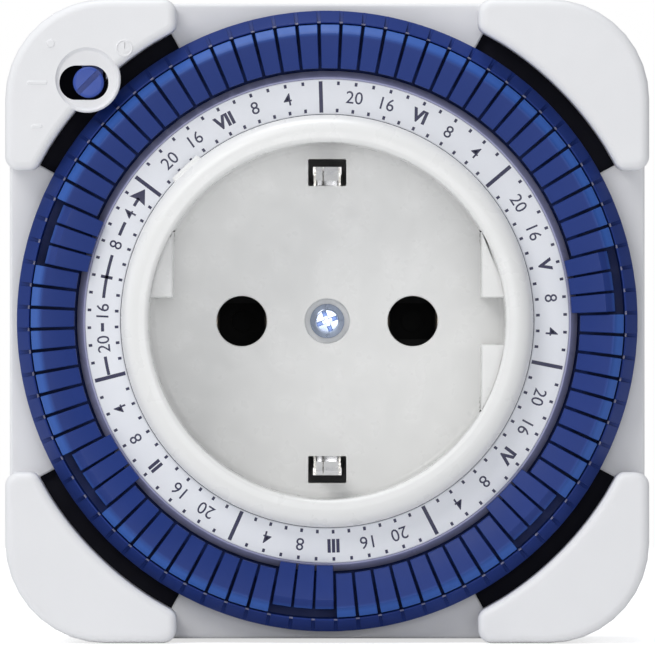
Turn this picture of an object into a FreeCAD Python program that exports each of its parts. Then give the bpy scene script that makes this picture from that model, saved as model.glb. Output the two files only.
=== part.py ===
import FreeCAD, Part
import math
import os
import re
import Sketcher

# Plug-in timer switch. Origin at the middle of the back face, which meets the wall.
# The dial looks along -Y, +X is to the right and +Z is up. A "height" below is the
# distance in front of the back face, so a point at height h lies at y = -h.
# Angles on the dial are clockwise from the top, seen from the front.

SIZES = {
    # housing
    "half_plate": 35.05,
    "half_pad": 35.4,
    "pad_corner_radius": 11.0,
    "plate_corner_radius": 10.65,
    "housing_wall": 1.8,
    "rear_wall": 2.0,
    "back_edge_radius": 2.2,
    "parting_height": 24.0,
    "plate_back": 28.0,
    "plate_front": 30.0,
    "pad_top": 37.5,
    "pad_inner_edge": 16.6,
    "pad_end_radius": 1.5,
    "pad_roof": 2.0,
    "hollow_side": 33.2,
    "hollow_end": 19.0,
    "hollow_bend": 26.5,
    "hollow_corner": 30.9,
    "hollow_arc": 27.15,
    "dial_bay_radius": 36.1,
    "hub_hole_radius": 23.85,
    # override slot in the upper left pad
    "slot_centre_x": -26.75,
    "slot_centre_z": 26.2,
    "slot_half_length": 2.7,
    "slot_half_height": 1.9,
    "slot_end_cut": 1.1,
    "ear_centre_x": -26.4,
    "ear_centre_z": 26.6,
    "ear_radius": 3.3,
    "ear_roof": 1.1,
    "ear_step": 0.4,
    "ear_bay_inner": 24.35,
    "ear_bay_outer": 31.0,
    # screw posts in the two free corners
    "post_offset": 28.2,
    "post_radius": 3.3,
    "post_pilot_radius": 1.35,
    "post_back": 10.0,
    "post_pilot_depth": 14.0,
    "sink_radius": 2.9,
    "sink_wall": 1.3,
    "sink_depth": 8.0,
    "sink_hole_radius": 1.7,
    "screw_head_radius": 2.6,
    "screw_head_thickness": 1.7,
    "screw_shank_radius": 1.3,
    "screw_length": 13.0,
    # plug on the back
    "boss_radius": 18.4,
    "boss_wall": 3.2,
    "boss_depth": 17.0,
    "boss_face": 3.0,
    "boss_edge_radius": 1.2,
    "earth_notch_half_width": 2.6,
    "earth_notch_floor": 16.5,
    "side_notch_half_height": 2.6,
    "side_notch_floor": 16.0,
    "pin_offset": 9.5,
    "pin_radius": 2.4,
    "pin_root_radius": 2.1,
    "pin_length": 19.0,
    "pin_tip_radius": 1.2,
    "pin_bore_clearance": 0.05,
    "pin_collar_radius": 3.4,
    "pin_collar_thickness": 1.6,
    "pin_head_height": 4.0,
    "rivet_radius": 1.2,
    "centre_post_radius": 3.4,
    "centre_post_top": 15.0,
    "centre_post_bore": 1.5,
    # socket insert
    "well_radius": 19.65,
    "well_floor": 21.0,
    "floor_thickness": 3.0,
    "cup_radius": 21.6,
    "bearing_radius": 22.7,
    "bearing_foot": 25.0,
    "collar_top": 38.5,
    "collar_round": 1.5,
    "collar_lip": 0.45,
    "side_block_face": 17.0,
    "side_block_top": 35.4,
    "side_notch_gap": 2.58,
    "socket_hole_radius": 2.79,
    "screw_recess_radius": 2.45,
    "screw_recess_depth": 1.0,
    "earth_slot_half_width": 2.12,
    "earth_slot_inner": 15.0,
    "earth_slot_outer": 18.0,
    "pointer_angle": -42.8,
    "pointer_half_width": 2.2,
    "pointer_reach": 23.15,
    "pointer_bottom": 35.3,
    "pointer_top": 36.9,
    "centre_head_radius": 1.9,
    "centre_head_thickness": 1.3,
    "centre_shank_radius": 1.45,
    "centre_screw_bottom": 2.0,
    # dial
    "segments": 84,
    "first_line_angle": -1.6,
    "dial_bore": 22.75,
    "hub_radius": 23.6,
    "hub_bottom": 25.7,
    "foot_radius": 25.0,
    "foot_bottom": 30.1,
    "floor_bottom": 31.2,
    "channel_floor": 32.4,
    "rim_outer": 34.2,
    "rim_inner": 32.75,
    "rim_top": 35.7,
    "rim_shoulder": 33.6,
    "rim_notch_bottom": 33.2,
    "rim_notch_half_width": 0.2,
    "wall_inner": 26.7,
    "wall_outer": 27.5,
    "wall_top": 34.9,
    "wall_slope_bottom": 33.9,
    "shelf_height": 33.7,
    "scale_outer": 26.66,
    "guide_inner": 28.55,
    "guide_outer": 31.1,
    "guide_half_width": 0.6,
    # tappets
    "tappet_angle": 3.7,
    "tappet_travel": 0.93,
    "tappet_inner": 27.8,
    "tappet_inner_top": 36.0,
    "tappet_crease": 31.6,
    "tappet_top": 37.0,
    "tappet_outer": 32.62,
    "tappet_outer_top": 36.1,
    "tappet_underside": 35.0,
    "tappet_body_inner": 29.0,
    "tappet_seat": 32.5,
    "keel_inner": 29.6,
    "keel_outer": 31.0,
    "keel_half_width": 0.55,
    "keel_bottom": 30.4,
    # gears
    "coarse_module": 0.6,
    "dial_teeth": 84,
    "pinion_teeth": 12,
    "fine_module": 0.35,
    "wheel_teeth": 36,
    "motor_teeth": 10,
    "gap_root": 0.8,
    "gap_tip": 1.64,
    "dial_gear_bottom": 25.7,
    "dial_gear_top": 27.7,
    "drive_bottom": 25.4,
    "drive_top": 27.8,
    "wheel_bottom": 22.0,
    "wheel_top": 23.2,
    "stud_radius": 0.8,
    "stud_bore": 0.84,
    "drive_angle": 121.35,
    # motor
    "motor_distance": 32.3,
    "motor_angle": 135.0,
    "motor_radius": 9.7,
    "motor_can_wall": 0.8,
    "motor_top": 20.0,
    "motor_plate_top": 21.0,
    "coil_inner": 5.2,
    "coil_outer": 8.5,
    "coil_bottom": 5.5,
    "coil_top": 18.0,
    "rotor_radius": 4.6,
    "rotor_bottom": 6.5,
    "rotor_top": 17.0,
    "shaft_radius": 0.7,
    "shaft_bore": 0.75,
    # switch
    "station_angle": -57.4,
    "finger_radius": 28.65,
    "finger_half": 0.75,
    "finger_step": 0.05,
    "finger_top": 31.0,
    "window_radius": 1.9,
    "arm_to_finger": 10.0,
    "arm_to_nose": 18.0,
    "arm_half_width": 1.1,
    "tail_length": 12.0,
    "tail_half_width": 0.8,
    "tail_tab_top": 27.0,
    "lever_bottom": 20.4,
    "lever_top": 22.4,
    "lever_hub_radius": 2.4,
    "pivot_radius": 1.2,
    "pivot_bore": 1.25,
    "pivot_bottom": 19.4,
    "leaf_root_z": -9.0,
    "leaf_tip_z": 7.4,
    "leaf_outer_x": -27.4,
    "leaf_thickness": 0.4,
    "leaf_bottom": 18.0,
    "leaf_top": 22.2,
    "contact_gap": 1.3,
    "clip_foot": 17.1,
    "clip_bulge": 16.0,
    "clip_tip": 17.0,
    "clip_bend_height": 27.0,
    "clip_bulge_height": 30.5,
    "clip_top": 33.6,
    "clip_half_width": 1.25,
    "earth_strip_half": 1.5,
    "eye_radius": 4.2,
    "eye_bore": 1.55,
    "bush_radius": 2.6,
    "contact_stud_radius": 1.3,
    "contact_stud_height": 0.6,
    "strip_thickness": 0.6,
    "insulator_thickness": 1.6,
    "insulator_half_length": 14.0,
    "insulator_half_height": 5.0,
    "contact_half_height": 2.0,
    "contact_leaf": 0.5,
    "contact_half_mouth": 3.15,
    "contact_half_grip": 2.75,
    "contact_top": 17.2,
    # override slider
    "knob_x": -26.25,
    "knob_z": 26.25,
    "knob_radius": 1.62,
    "knob_top": 37.4,
    "knob_groove_half": 0.3,
    "knob_groove_depth": 0.6,
    "slider_bottom": 34.4,
    "slider_top": 35.3,
    "slider_left": -27.0,
    "leg_left": -26.1,
    "leg_right": -24.7,
    "leg_low": 29.0,
    "leg_high": 30.6,
    "leg_bottom": 23.5,
}

DAYS = 7
SLOTS_PER_DAY = 12
DAY_NAMES = ["six", "five", "four", "three", "two", "one", "seven"]
WORKING_DAYS = ["five", "four", "three", "two", "one"]
PUSHED_IN = [6, 7, 8]

doc = FreeCAD.newDocument("plug_in_timer_switch")
sheet = doc.addObject("Spreadsheet::Sheet", "Sheet")
for row, (alias, size) in enumerate(SIZES.items(), start=1):
    sheet.set(f"A{row}", str(size))
    sheet.setAlias(f"A{row}", alias)
doc.recompute()
pieces = []


def bound(text):
    """The same formula with every size read from the sheet."""
    return re.sub(r"[a-z_]+", lambda word: f"Sheet.{word.group()}" if word.group() in SIZES
                  else word.group(), str(text))


def value(text):
    """The number a formula of sizes gives now."""
    return float(sheet.evalExpression(bound(text)))


def new_body(name):
    body = doc.addObject("PartDesign::Body", name)
    body.Label = name
    pieces.append(body)
    return body


def plane_sketch(body, name, role, offset=None):
    """A sketch on one of the body's own planes, moved forward by a formula."""
    plane = next(one for one in body.Origin.OriginFeatures if one.Role == role)
    sketch = body.newObject("Sketcher::SketchObject", name)
    sketch.AttachmentSupport = [(plane, "")]
    sketch.MapMode = "FlatFace"
    if offset is not None:
        sketch.setExpression("AttachmentOffset.Base.z", bound(offset))
    return sketch


def tie(sketch, geometry, point, across, up):
    """Fix one point of a sketch at a pair of formulas."""
    for kind, axis, text in (("DistanceX", -2, across), ("DistanceY", -1, up)):
        number = value(text)
        if abs(number) < 1e-9:
            sketch.addConstraint(Sketcher.Constraint("PointOnObject", geometry, point, axis))
        else:
            place = sketch.addConstraint(Sketcher.Constraint(kind, -1, 1, geometry, point, number))
            sketch.setExpression(f"Constraints[{place}]", bound(text))


def loop(sketch, corners):
    """A closed outline of straight sides; each corner is a pair of formulas."""
    first = sketch.GeometryCount
    count = len(corners)
    spots = [FreeCAD.Vector(value(across), value(up), 0) for across, up in corners]
    for index in range(count):
        sketch.addGeometry(Part.LineSegment(spots[index], spots[(index + 1) % count]))
    for index in range(count):
        following = first + (index + 1) % count
        sketch.addConstraint(Sketcher.Constraint("Coincident", first + index, 2, following, 1))
    for index, (across, up) in enumerate(corners):
        tie(sketch, first + index, 1, across, up)


def box(sketch, left, low, right, high):
    loop(sketch, [(left, low), (right, low), (right, high), (left, high)])


def circle(sketch, across, up, radius):
    centre = FreeCAD.Vector(value(across), value(up), 0)
    index = sketch.addGeometry(Part.Circle(centre, FreeCAD.Vector(0, 0, 1), value(radius)))
    tie(sketch, index, 3, across, up)
    place = sketch.addConstraint(Sketcher.Constraint("Radius", index, value(radius)))
    sketch.setExpression(f"Constraints[{place}]", bound(radius))


def extrude(body, kind, name, bottom, top, *shapes):
    """Pad or pocket between two heights; each shape is a drawing function and its values."""
    sketch = plane_sketch(body, f"{name}_outline", "XZ_Plane", bottom)
    for draw, *values in shapes:
        draw(sketch, *values)
    feature = body.newObject(f"PartDesign::{kind}", name)
    feature.Profile = sketch
    feature.setExpression("Length", bound(f"({top}) - ({bottom})"))
    feature.Reversed = kind == "Pocket"
    body.Tip = feature
    return feature


def pad(body, name, bottom, top, *shapes):
    return extrude(body, "Pad", name, bottom, top, *shapes)


def pocket(body, name, bottom, top, *shapes):
    return extrude(body, "Pocket", name, bottom, top, *shapes)


def turned(body, name, profile, angle="360", kind="Revolution"):
    """Turn a profile of (radius, height) formulas about the Y axis."""
    sketch = plane_sketch(body, f"{name}_profile", "YZ_Plane")
    loop(sketch, [(f"-({height})", radius) for radius, height in profile])
    feature = body.newObject(f"PartDesign::{kind}", name)
    feature.Profile = sketch
    feature.ReferenceAxis = (sketch, ["H_Axis"])
    feature.setExpression("Angle", bound(angle))
    feature.Midplane = True
    body.Tip = feature
    return feature


def strip(body, name, role, profile, half_width):
    """A bent strip: its side view, given width both ways from the middle plane."""
    sketch = plane_sketch(body, f"{name}_profile", role)
    loop(sketch, profile)
    feature = body.newObject("PartDesign::Pad", name)
    feature.Profile = sketch
    feature.setExpression("Length", bound(f"2 * ({half_width})"))
    feature.Midplane = True
    body.Tip = feature
    return feature


def ring_of(body, name, features, count):
    """Repeat features evenly round the Y axis."""
    pattern = body.newObject("PartDesign::PolarPattern", name)
    pattern.Originals = features
    axis = next(one for one in body.Origin.OriginFeatures if one.Role == "Y_Axis")
    pattern.Axis = (axis, [""])
    pattern.Angle = 360
    pattern.setExpression("Occurrences", bound(count))
    body.Tip = pattern
    return pattern


def rounded(body, name, radius, chosen):
    """Round the edges of the tip feature that the test picks."""
    doc.recompute()
    base = body.Tip
    edges = [f"Edge{number}" for number, edge in enumerate(base.Shape.Edges, start=1)
             if chosen(edge)]
    feature = body.newObject("PartDesign::Fillet", name)
    feature.Base = (base, edges)
    feature.setExpression("Radius", bound(radius))
    feature.Refine = False
    body.Tip = feature
    return feature


def upright(edge):
    """True for a straight edge that runs front to back."""
    ends = [vertex.Point for vertex in edge.Vertexes]
    return (len(ends) == 2 and abs(ends[0].x - ends[1].x) < 1e-6
            and abs(ends[0].z - ends[1].z) < 1e-6)


def at_height(edge, height):
    return (abs(edge.BoundBox.YMin + height) < 1e-6
            and abs(edge.BoundBox.YMax + height) < 1e-6)


def place(body, across, up, turn="0"):
    """Put a body that is drawn about its own origin where formulas say."""
    body.setExpression("Placement.Base.x", bound(across))
    body.setExpression("Placement.Base.z", bound(up))
    body.Placement.Rotation = FreeCAD.Rotation(FreeCAD.Vector(0, 1, 0), value(turn))


def spot(radius, angle):
    """Across and up formulas for a point on the dial."""
    return f"({radius}) * sin(1 deg * ({angle}))", f"({radius}) * cos(1 deg * ({angle}))"



def square(sketch, half):
    box(sketch, f"-({half})", f"-({half})", half, half)


def at_corners(sketch, outline, corners=((1, 1), (1, -1), (-1, -1), (-1, 1))):
    """The same outline at several corners, mirrored into each."""
    for right, top in corners:
        loop(sketch, [(f"{right} * ({across})", f"{top} * ({up})") for across, up in outline])


def on_corner(edge, half):
    """True for an upright edge at a corner of a square."""
    if not upright(edge):
        return False
    point = edge.Vertexes[0].Point
    return abs(abs(point.x) - half) < 1e-6 and abs(abs(point.z) - half) < 1e-6


def box_at(across, up, half_width, half_height):
    return (box, f"{across} - {half_width}", f"{up} - {half_height}",
            f"{across} + {half_width}", f"{up} + {half_height}")


def round_corners(body):
    """Round the inner and outer corners of a shell about the same centres."""
    outer, inner = value("half_plate"), value("half_plate - housing_wall")
    rounded(body, "inner_corners", "plate_corner_radius - housing_wall",
            lambda edge: on_corner(edge, inner))
    rounded(body, "outer_corners", "plate_corner_radius", lambda edge: on_corner(edge, outer))


def front_cover():
    body = new_body("front_cover")
    pad(body, "plate", "parting_height", "plate_front", (square, "half_plate"))
    pocket(body, "inside", "parting_height", "plate_back", (square, "half_plate - housing_wall"))
    round_corners(body)
    low, high = "pad_inner_edge", "half_pad"
    bend, cut = "0.3 * pad_end_radius", "pad_end_radius"
    end = [(f"{high} - {cut}", low), (f"{high} - {bend}", f"{low} + {bend}"), (high, f"{low} + {cut}")]
    pad(body, "corner_pads", "plate_front", "pad_top",
        (at_corners, [(low, low), *end, (high, high), *[(up, across) for across, up in reversed(end)]]))
    roof, edge_of_pad = value("pad_top"), value("half_pad")
    rounded(body, "pad_corners", "pad_corner_radius", lambda edge: on_corner(edge, edge_of_pad))
    pocket(body, "dial_bay", "plate_front", "pad_top + 1", (circle, "0", "0", "dial_bay_radius"))
    side, end, bend = "hollow_side", "hollow_end", "hollow_bend"
    pocket(body, "pad_hollows", "plate_back - 0.5", "pad_top - pad_roof",
           (at_corners, [(side, end), (side, bend), ("hollow_corner", "hollow_corner"),
                         (bend, side), (end, side), ("hollow_arc", "hollow_arc")]))
    pad(body, "ear", "pad_top - ear_roof", "pad_top", (circle, "ear_centre_x", "ear_centre_z",
                                                       "ear_radius + ear_step"))
    pocket(body, "ear_bay", "plate_front", "pad_top - ear_roof",
           (box, "-ear_bay_outer", "ear_bay_inner", "-ear_bay_inner", "ear_bay_outer"))
    pocket(body, "ear_recess", "pad_top - ear_step", "pad_top + 1",
           (circle, "ear_centre_x", "ear_centre_z", "ear_radius"))
    pocket(body, "override_slot", "pad_top - ear_roof - 1", "pad_top", (loop, slot_outline()))
    pocket(body, "hub_hole", "plate_back", "plate_front", (circle, "0", "0", "hub_hole_radius"))
    window = spot("finger_radius - 0.4", "station_angle")
    pocket(body, "finger_window", "plate_back", "plate_front", (circle, *window, "window_radius"))
    posts = [("post_offset", "post_offset"), ("-post_offset", "-post_offset")]
    pad(body, "screw_posts", "post_back", "pad_top - pad_roof",
        *[(circle, across, up, "post_radius") for across, up in posts])
    pocket(body, "post_pilots", "post_back", "post_back + post_pilot_depth",
           *[(circle, across, up, "post_pilot_radius") for across, up in posts])
    pad(body, "lever_pivot", "pivot_bottom", "plate_back", (circle, *pivot_spot(), "pivot_radius"))
    return body


def slot_outline():
    """The override slot: a rectangle with its corners cut to follow a round end."""
    length, half, cut = "slot_half_length", "slot_half_height", "slot_end_cut"
    quarter = [(length, f"{half} - {cut}"), (f"{length} - {cut}", half)]
    corners = []
    for across, up in ((1, 1), (-1, 1), (-1, -1), (1, -1)):
        points = quarter if across == up else list(reversed(quarter))
        corners += [(f"slot_centre_x + {across} * ({x})", f"slot_centre_z + {up} * ({z})")
                    for x, z in points]
    return corners


def pivot_spot():
    """Where the switch lever turns: along the tangent from its finger."""
    angle = "1 deg * station_angle"
    return (f"finger_radius * sin({angle}) + arm_to_finger * cos({angle})",
            f"finger_radius * cos({angle}) - arm_to_finger * sin({angle})")


def rear_housing():
    body = new_body("rear_housing")
    pad(body, "shell", "0", "parting_height", (square, "half_plate"))
    pocket(body, "inside", "rear_wall", "parting_height", (square, "half_plate - housing_wall"))
    round_corners(body)
    rounded(body, "back_edge", "back_edge_radius", lambda edge: at_height(edge, 0))
    pad(body, "plug_boss", "-boss_depth", "0", (circle, "0", "0", "boss_radius"))
    face = value("-boss_depth")
    rounded(body, "boss_edge", "boss_edge_radius", lambda edge: at_height(edge, face))
    pocket(body, "boss_inside", "boss_face - boss_depth", "rear_wall",
           (circle, "0", "0", "boss_radius - boss_wall"))
    notch = ("earth_notch_half_width", "earth_notch_floor")
    for name, level in (("upper_earth_notch", 1), ("lower_earth_notch", -1)):
        low, high = sorted([f"{level} * {notch[1]}", f"{level} * (boss_radius + 1)"], key=value)
        pocket(body, name, "-boss_depth - 1", "0", (box, f"-{notch[0]}", low, notch[0], high))
        low, high = sorted([f"{level} * (earth_notch_floor - 0.05)", f"{level} * (earth_notch_floor + 0.85)"],
                           key=value)
        pocket(body, f"{name}_slot", "-0.5", "rear_wall", (box, "-1.6", low, "1.6", high))
    for name, side in (("right_guide_notch", 1), ("left_guide_notch", -1)):
        low, high = sorted([f"{side} * side_notch_floor", f"{side} * (boss_radius + 1)"], key=value)
        pocket(body, name, "-boss_depth - 1", "-2",
               (box, low, "-side_notch_half_height", high, "side_notch_half_height"))
    pad(body, "centre_post", "-boss_depth", "centre_post_top", (circle, "0", "0", "centre_post_radius"))
    pocket(body, "centre_post_hole", "0", "centre_post_top", (circle, "0", "0", "centre_post_bore"))
    pin_bore = "pin_radius + pin_bore_clearance"
    pocket(body, "pin_bores", "-boss_depth", "boss_face - boss_depth",
           (circle, "pin_offset", "0", pin_bore), (circle, "-pin_offset", "0", pin_bore))
    posts = [("post_offset", "post_offset"), ("-post_offset", "-post_offset")]
    pad(body, "screw_wells", "rear_wall", "post_back",
        *[(circle, across, up, "sink_radius + sink_wall") for across, up in posts])
    pocket(body, "screw_sinks", "0", "sink_depth", *[(circle, *at, "sink_radius") for at in posts])
    pocket(body, "screw_holes", "sink_depth", "post_back",
           *[(circle, *at, "sink_hole_radius") for at in posts])
    return body


def socket_insert():
    body = new_body("socket_insert")
    rise = "collar_top - collar_round"
    turned(body, "cup", [
        ("0", "well_floor - floor_thickness"),
        ("cup_radius", "well_floor - floor_thickness"),
        ("cup_radius", "bearing_foot"),
        ("bearing_radius", "bearing_foot"),
        ("bearing_radius", rise),
        ("bearing_radius - 0.45", f"{rise} + 0.85"),
        ("bearing_radius - 1.2", "collar_top - 0.15"),
        ("bearing_radius - 2", "collar_top"),
        ("well_radius + collar_lip", "collar_top"),
        ("well_radius", "collar_top - collar_lip"),
        ("well_radius", "well_floor"),
        ("0", "well_floor"),
    ])
    across = "sqrt(well_radius ^ 2 - side_block_face ^ 2)"
    for name, side in (("right_block", 1), ("left_block", -1)):
        face, back = f"{side} * side_block_face", f"{side} * (well_radius + 0.3)"
        low, high = sorted([face, back], key=value)
        pad(body, name, "well_floor", "side_block_top", (box, low, f"-({across})", high, across))
        pocket(body, f"{name}_notch", "well_floor", "side_block_top",
               (box, *sorted([face, f"{side} * well_radius"], key=value)[:1], "-side_notch_gap",
                sorted([face, f"{side} * well_radius"], key=value)[1], "side_notch_gap"))
    pocket(body, "pin_holes", "well_floor - floor_thickness", "well_floor",
           (circle, "pin_offset", "0", "socket_hole_radius"),
           (circle, "-pin_offset", "0", "socket_hole_radius"))
    pocket(body, "screw_recess", "well_floor - screw_recess_depth", "well_floor",
           (circle, "0", "0", "screw_recess_radius"))
    pocket(body, "screw_hole", "well_floor - floor_thickness", "well_floor",
           (circle, "0", "0", "centre_post_bore"))
    wide = "earth_slot_half_width"
    for name, level in (("upper_earth_slot", 1), ("lower_earth_slot", -1)):
        low, high = sorted([f"{level} * earth_slot_inner", f"{level} * earth_slot_outer"], key=value)
        pocket(body, name, "well_floor - floor_thickness", "well_floor", (box, f"-{wide}", low, wide, high))
    pad(body, "pointer", "pointer_bottom", "pointer_top", (loop, [
        turn_spot(across, up, "pointer_angle") for across, up in (
            ("-pointer_half_width", "bearing_radius - 1"), ("-pointer_half_width + 0.35", "pointer_reach"),
            ("pointer_half_width - 0.35", "pointer_reach"), ("pointer_half_width", "bearing_radius - 1"))]))
    return body


def turn_spot(across, up, angle):
    """A point given beside and along a ray at an angle clockwise from the top."""
    angle = f"1 deg * ({angle})"
    return (f"({across}) * cos({angle}) + ({up}) * sin({angle})",
            f"({up}) * cos({angle}) - ({across}) * sin({angle})")


def centre_screw():
    body = new_body("centre_screw")
    seat = "well_floor - screw_recess_depth"
    turned(body, "screw", [
        ("0", "centre_screw_bottom"),
        ("centre_shank_radius", "centre_screw_bottom"),
        ("centre_shank_radius", seat),
        ("centre_head_radius", seat),
        ("centre_head_radius", f"{seat} + centre_head_thickness - 0.5"),
        ("centre_head_radius - 0.6", f"{seat} + centre_head_thickness"),
        ("0", f"{seat} + centre_head_thickness"),
    ])
    return body


def rear_screws():
    screws = []
    for number, side in enumerate(("", "-"), start=1):
        body = doc.addObject("PartDesign::Body", f"rear_screw_{number}")
        under = "sink_depth"
        turned(body, "screw", [
            ("0", f"{under} - screw_head_thickness"),
            ("screw_head_radius - 0.4", f"{under} - screw_head_thickness"),
            ("screw_head_radius", f"{under} - screw_head_thickness + 0.6"),
            ("screw_head_radius", under),
            ("screw_shank_radius", under),
            ("screw_shank_radius", f"{under} + screw_length"),
            ("0", f"{under} + screw_length"),
        ])
        place(body, f"{side}post_offset", f"{side}post_offset")
        screws.append(body)
    return together("rear_screws", screws)


def together(name, bodies):
    """Like pieces kept as one group of separate solids."""
    group = doc.addObject("Part::Compound", name)
    group.Label = name
    group.Links = bodies
    pieces.append(group)
    return group


def earth_clips():
    body = new_body("earth_clips")
    thick = "strip_thickness"
    base = "well_floor - floor_thickness"
    outer, bulge, tip = "clip_foot", "clip_bulge", "clip_tip"
    bend, widest, top = "clip_bend_height", "clip_bulge_height", "clip_top"
    side = [(outer, f"{base} - {thick}"), (outer, bend), (bulge, widest), (tip, top),
            (f"{tip} - {thick}", top), (f"{bulge} - {thick}", widest), (f"{outer} - {thick}", bend),
            (f"{outer} - {thick}", base)]
    both = [(f"-({h})", z) for z, h in side] + [(f"-({h})", f"-({z})") for z, h in reversed(side)]
    strip(body, "clips", "YZ_Plane", both, "clip_half_width")
    pad(body, "eye", f"{base} - {thick}", base, (circle, "0", "0", "eye_radius"))
    pocket(body, "eye_hole", f"{base} - {thick}", base, (circle, "0", "0", "eye_bore"))
    return body


def earth_bush():
    body = new_body("earth_bush")
    low, high = "centre_post_top + strip_thickness", "well_floor - floor_thickness - strip_thickness"
    pad(body, "bush", low, high, (circle, "0", "0", "bush_radius"),
        (circle, "0", "0", "eye_bore"))
    return body


def earth_pin_bracket():
    body = new_body("earth_pin_bracket")
    low, high = "centre_post_top", "centre_post_top + strip_thickness"
    inner = "earth_notch_floor + 0.02"
    outer = f"{inner} + strip_thickness"
    side = [(outer, high), (outer, "2 - boss_depth"), (inner, "1.6 - boss_depth"), (inner, low)]
    both = [(f"-({h})", z) for z, h in side] + [(f"-({h})", f"-({z})") for z, h in reversed(side)]
    strip(body, "strips", "YZ_Plane", both, "earth_strip_half")
    pad(body, "eye", low, high, (circle, "0", "0", "eye_radius"))
    pocket(body, "eye_hole", low, high, (circle, "0", "0", "eye_bore"))
    return body


def plug_pin(name, side, rivet_top):
    body = new_body(name)
    tip = "-boss_depth - pin_length"
    collar = "boss_face - boss_depth"
    turned(body, "pin", [
        ("0", tip),
        ("pin_radius - pin_tip_radius", tip),
        ("pin_radius - pin_tip_radius * 0.3", f"{tip} + pin_tip_radius * 0.4"),
        ("pin_radius", f"{tip} + pin_tip_radius"),
        ("pin_radius", "-boss_depth"),
        ("pin_root_radius", "-boss_depth"),
        ("pin_root_radius", collar),
        ("pin_collar_radius", collar),
        ("pin_collar_radius", f"{collar} + pin_collar_thickness"),
        ("pin_root_radius", f"{collar} + pin_collar_thickness"),
        ("pin_root_radius", "pin_head_height"),
        ("rivet_radius", "pin_head_height"),
        ("rivet_radius", rivet_top),
        ("0", rivet_top),
    ])
    place(body, f"{side}pin_offset", "0")
    return body


INSULATOR_TOP = "pin_head_height + strip_thickness + insulator_thickness"


def socket_contact(name, side, tail):
    """A sprung fork on the insulator, with a tail for the live side."""
    body = new_body(name)
    low, thin = INSULATOR_TOP, "contact_leaf"
    wide, grip, neck = "contact_half_mouth", "contact_half_grip", "2.45"
    half = [(wide, low), (wide, "contact_top - 6"), (neck + " + contact_leaf", "contact_top - 3.4"),
            (grip + " + contact_leaf", "contact_top"), (grip, "contact_top"), (neck, "contact_top - 3.4"),
            (f"{wide} - {thin}", "contact_top - 6"), (f"{wide} - {thin}", f"{low} + {thin}")]
    both = [(x, f"-({h})") for x, h in half] + [(f"-({x})", f"-({h})") for x, h in reversed(half)]
    strip(body, "fork", "XY_Plane", both, "contact_half_height")
    if tail:
        root = "leaf_root_z"
        riser_left = f"leaf_outer_x + pin_offset"
        riser_right = f"{riser_left} + leaf_thickness"
        pad(body, "tail", low, f"{low} + {thin}", (loop, [
            ("-3", "-1"), ("-3", f"{root} - 0.1"), (riser_left, f"{root} - 0.1"),
            (riser_left, f"{root} - 3.5"), ("3", f"{root} - 3.5"), ("3", "-1")]))
        pad(body, "riser", low, "leaf_top", (box, riser_left, f"{root} - 3.5", riser_right, f"{root} - 0.05"))
    pocket(body, "rivet_hole", low, f"{low} + {thin}", (circle, "0", "0", "rivet_radius + 0.05"))
    place(body, f"{side}pin_offset", "0")
    return body


def insulator_plate():
    body = new_body("insulator_plate")
    low, high = "pin_head_height + strip_thickness", INSULATOR_TOP
    pad(body, "plate", low, high, (box, "-insulator_half_length", "-insulator_half_height",
                                   "insulator_half_length", "insulator_half_height"))
    rounded(body, "plate_corners", "2", upright)
    pocket(body, "post_hole", low, high, (circle, "0", "0", "centre_post_radius + 0.1"))
    pocket(body, "rivet_holes", low, high, (circle, "pin_offset", "0", "rivet_radius + 0.05"),
           (circle, "-pin_offset", "0", "rivet_radius + 0.05"))
    return body


def live_strip():
    body = new_body("live_strip")
    low, high = "pin_head_height", "pin_head_height + strip_thickness"
    face = "leaf_outer_x + leaf_thickness + contact_gap + 2 * contact_stud_height"
    back = f"{face} + contact_stud_height"
    pad(body, "foot", low, high, (loop, [
        ("-pin_offset + 2.6", "-2.2"), ("-pin_offset + 2.6", "2.2"), (f"{back} + 1.5", "8"), (face, "8"),
        (face, "3"), ("-pin_offset - 3.5", "-2.2")]))
    pocket(body, "rivet_hole", low, high, (circle, "-pin_offset", "0", "rivet_radius + 0.05"))
    pad(body, "riser", low, "leaf_top", (box, face, "3", back, "8"))
    button(body, "contact_button", face, "-contact_stud_height")
    return body


CONTACT_MIDDLE = ("(leaf_bottom + leaf_top) / 2", "leaf_tip_z - 1.8")


def button(body, name, face, reach):
    """A round contact button on a strip that faces sideways."""
    sketch = plane_sketch(body, f"{name}_outline", "YZ_Plane", face)
    circle(sketch, f"-({CONTACT_MIDDLE[0]})", CONTACT_MIDDLE[1], "contact_stud_radius")
    feature = body.newObject("PartDesign::Pad", name)
    feature.Profile = sketch
    feature.setExpression("Length", bound("contact_stud_height"))
    feature.Reversed = reach.startswith("-")
    body.Tip = feature
    return feature


def moving_contact():
    body = new_body("moving_contact")
    inner = "leaf_outer_x + leaf_thickness"
    pad(body, "leaf", "leaf_bottom", "leaf_top", (box, "leaf_outer_x", "leaf_root_z", inner, "leaf_tip_z"))
    button(body, "contact_button", inner, "contact_stud_height")
    return body


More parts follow.
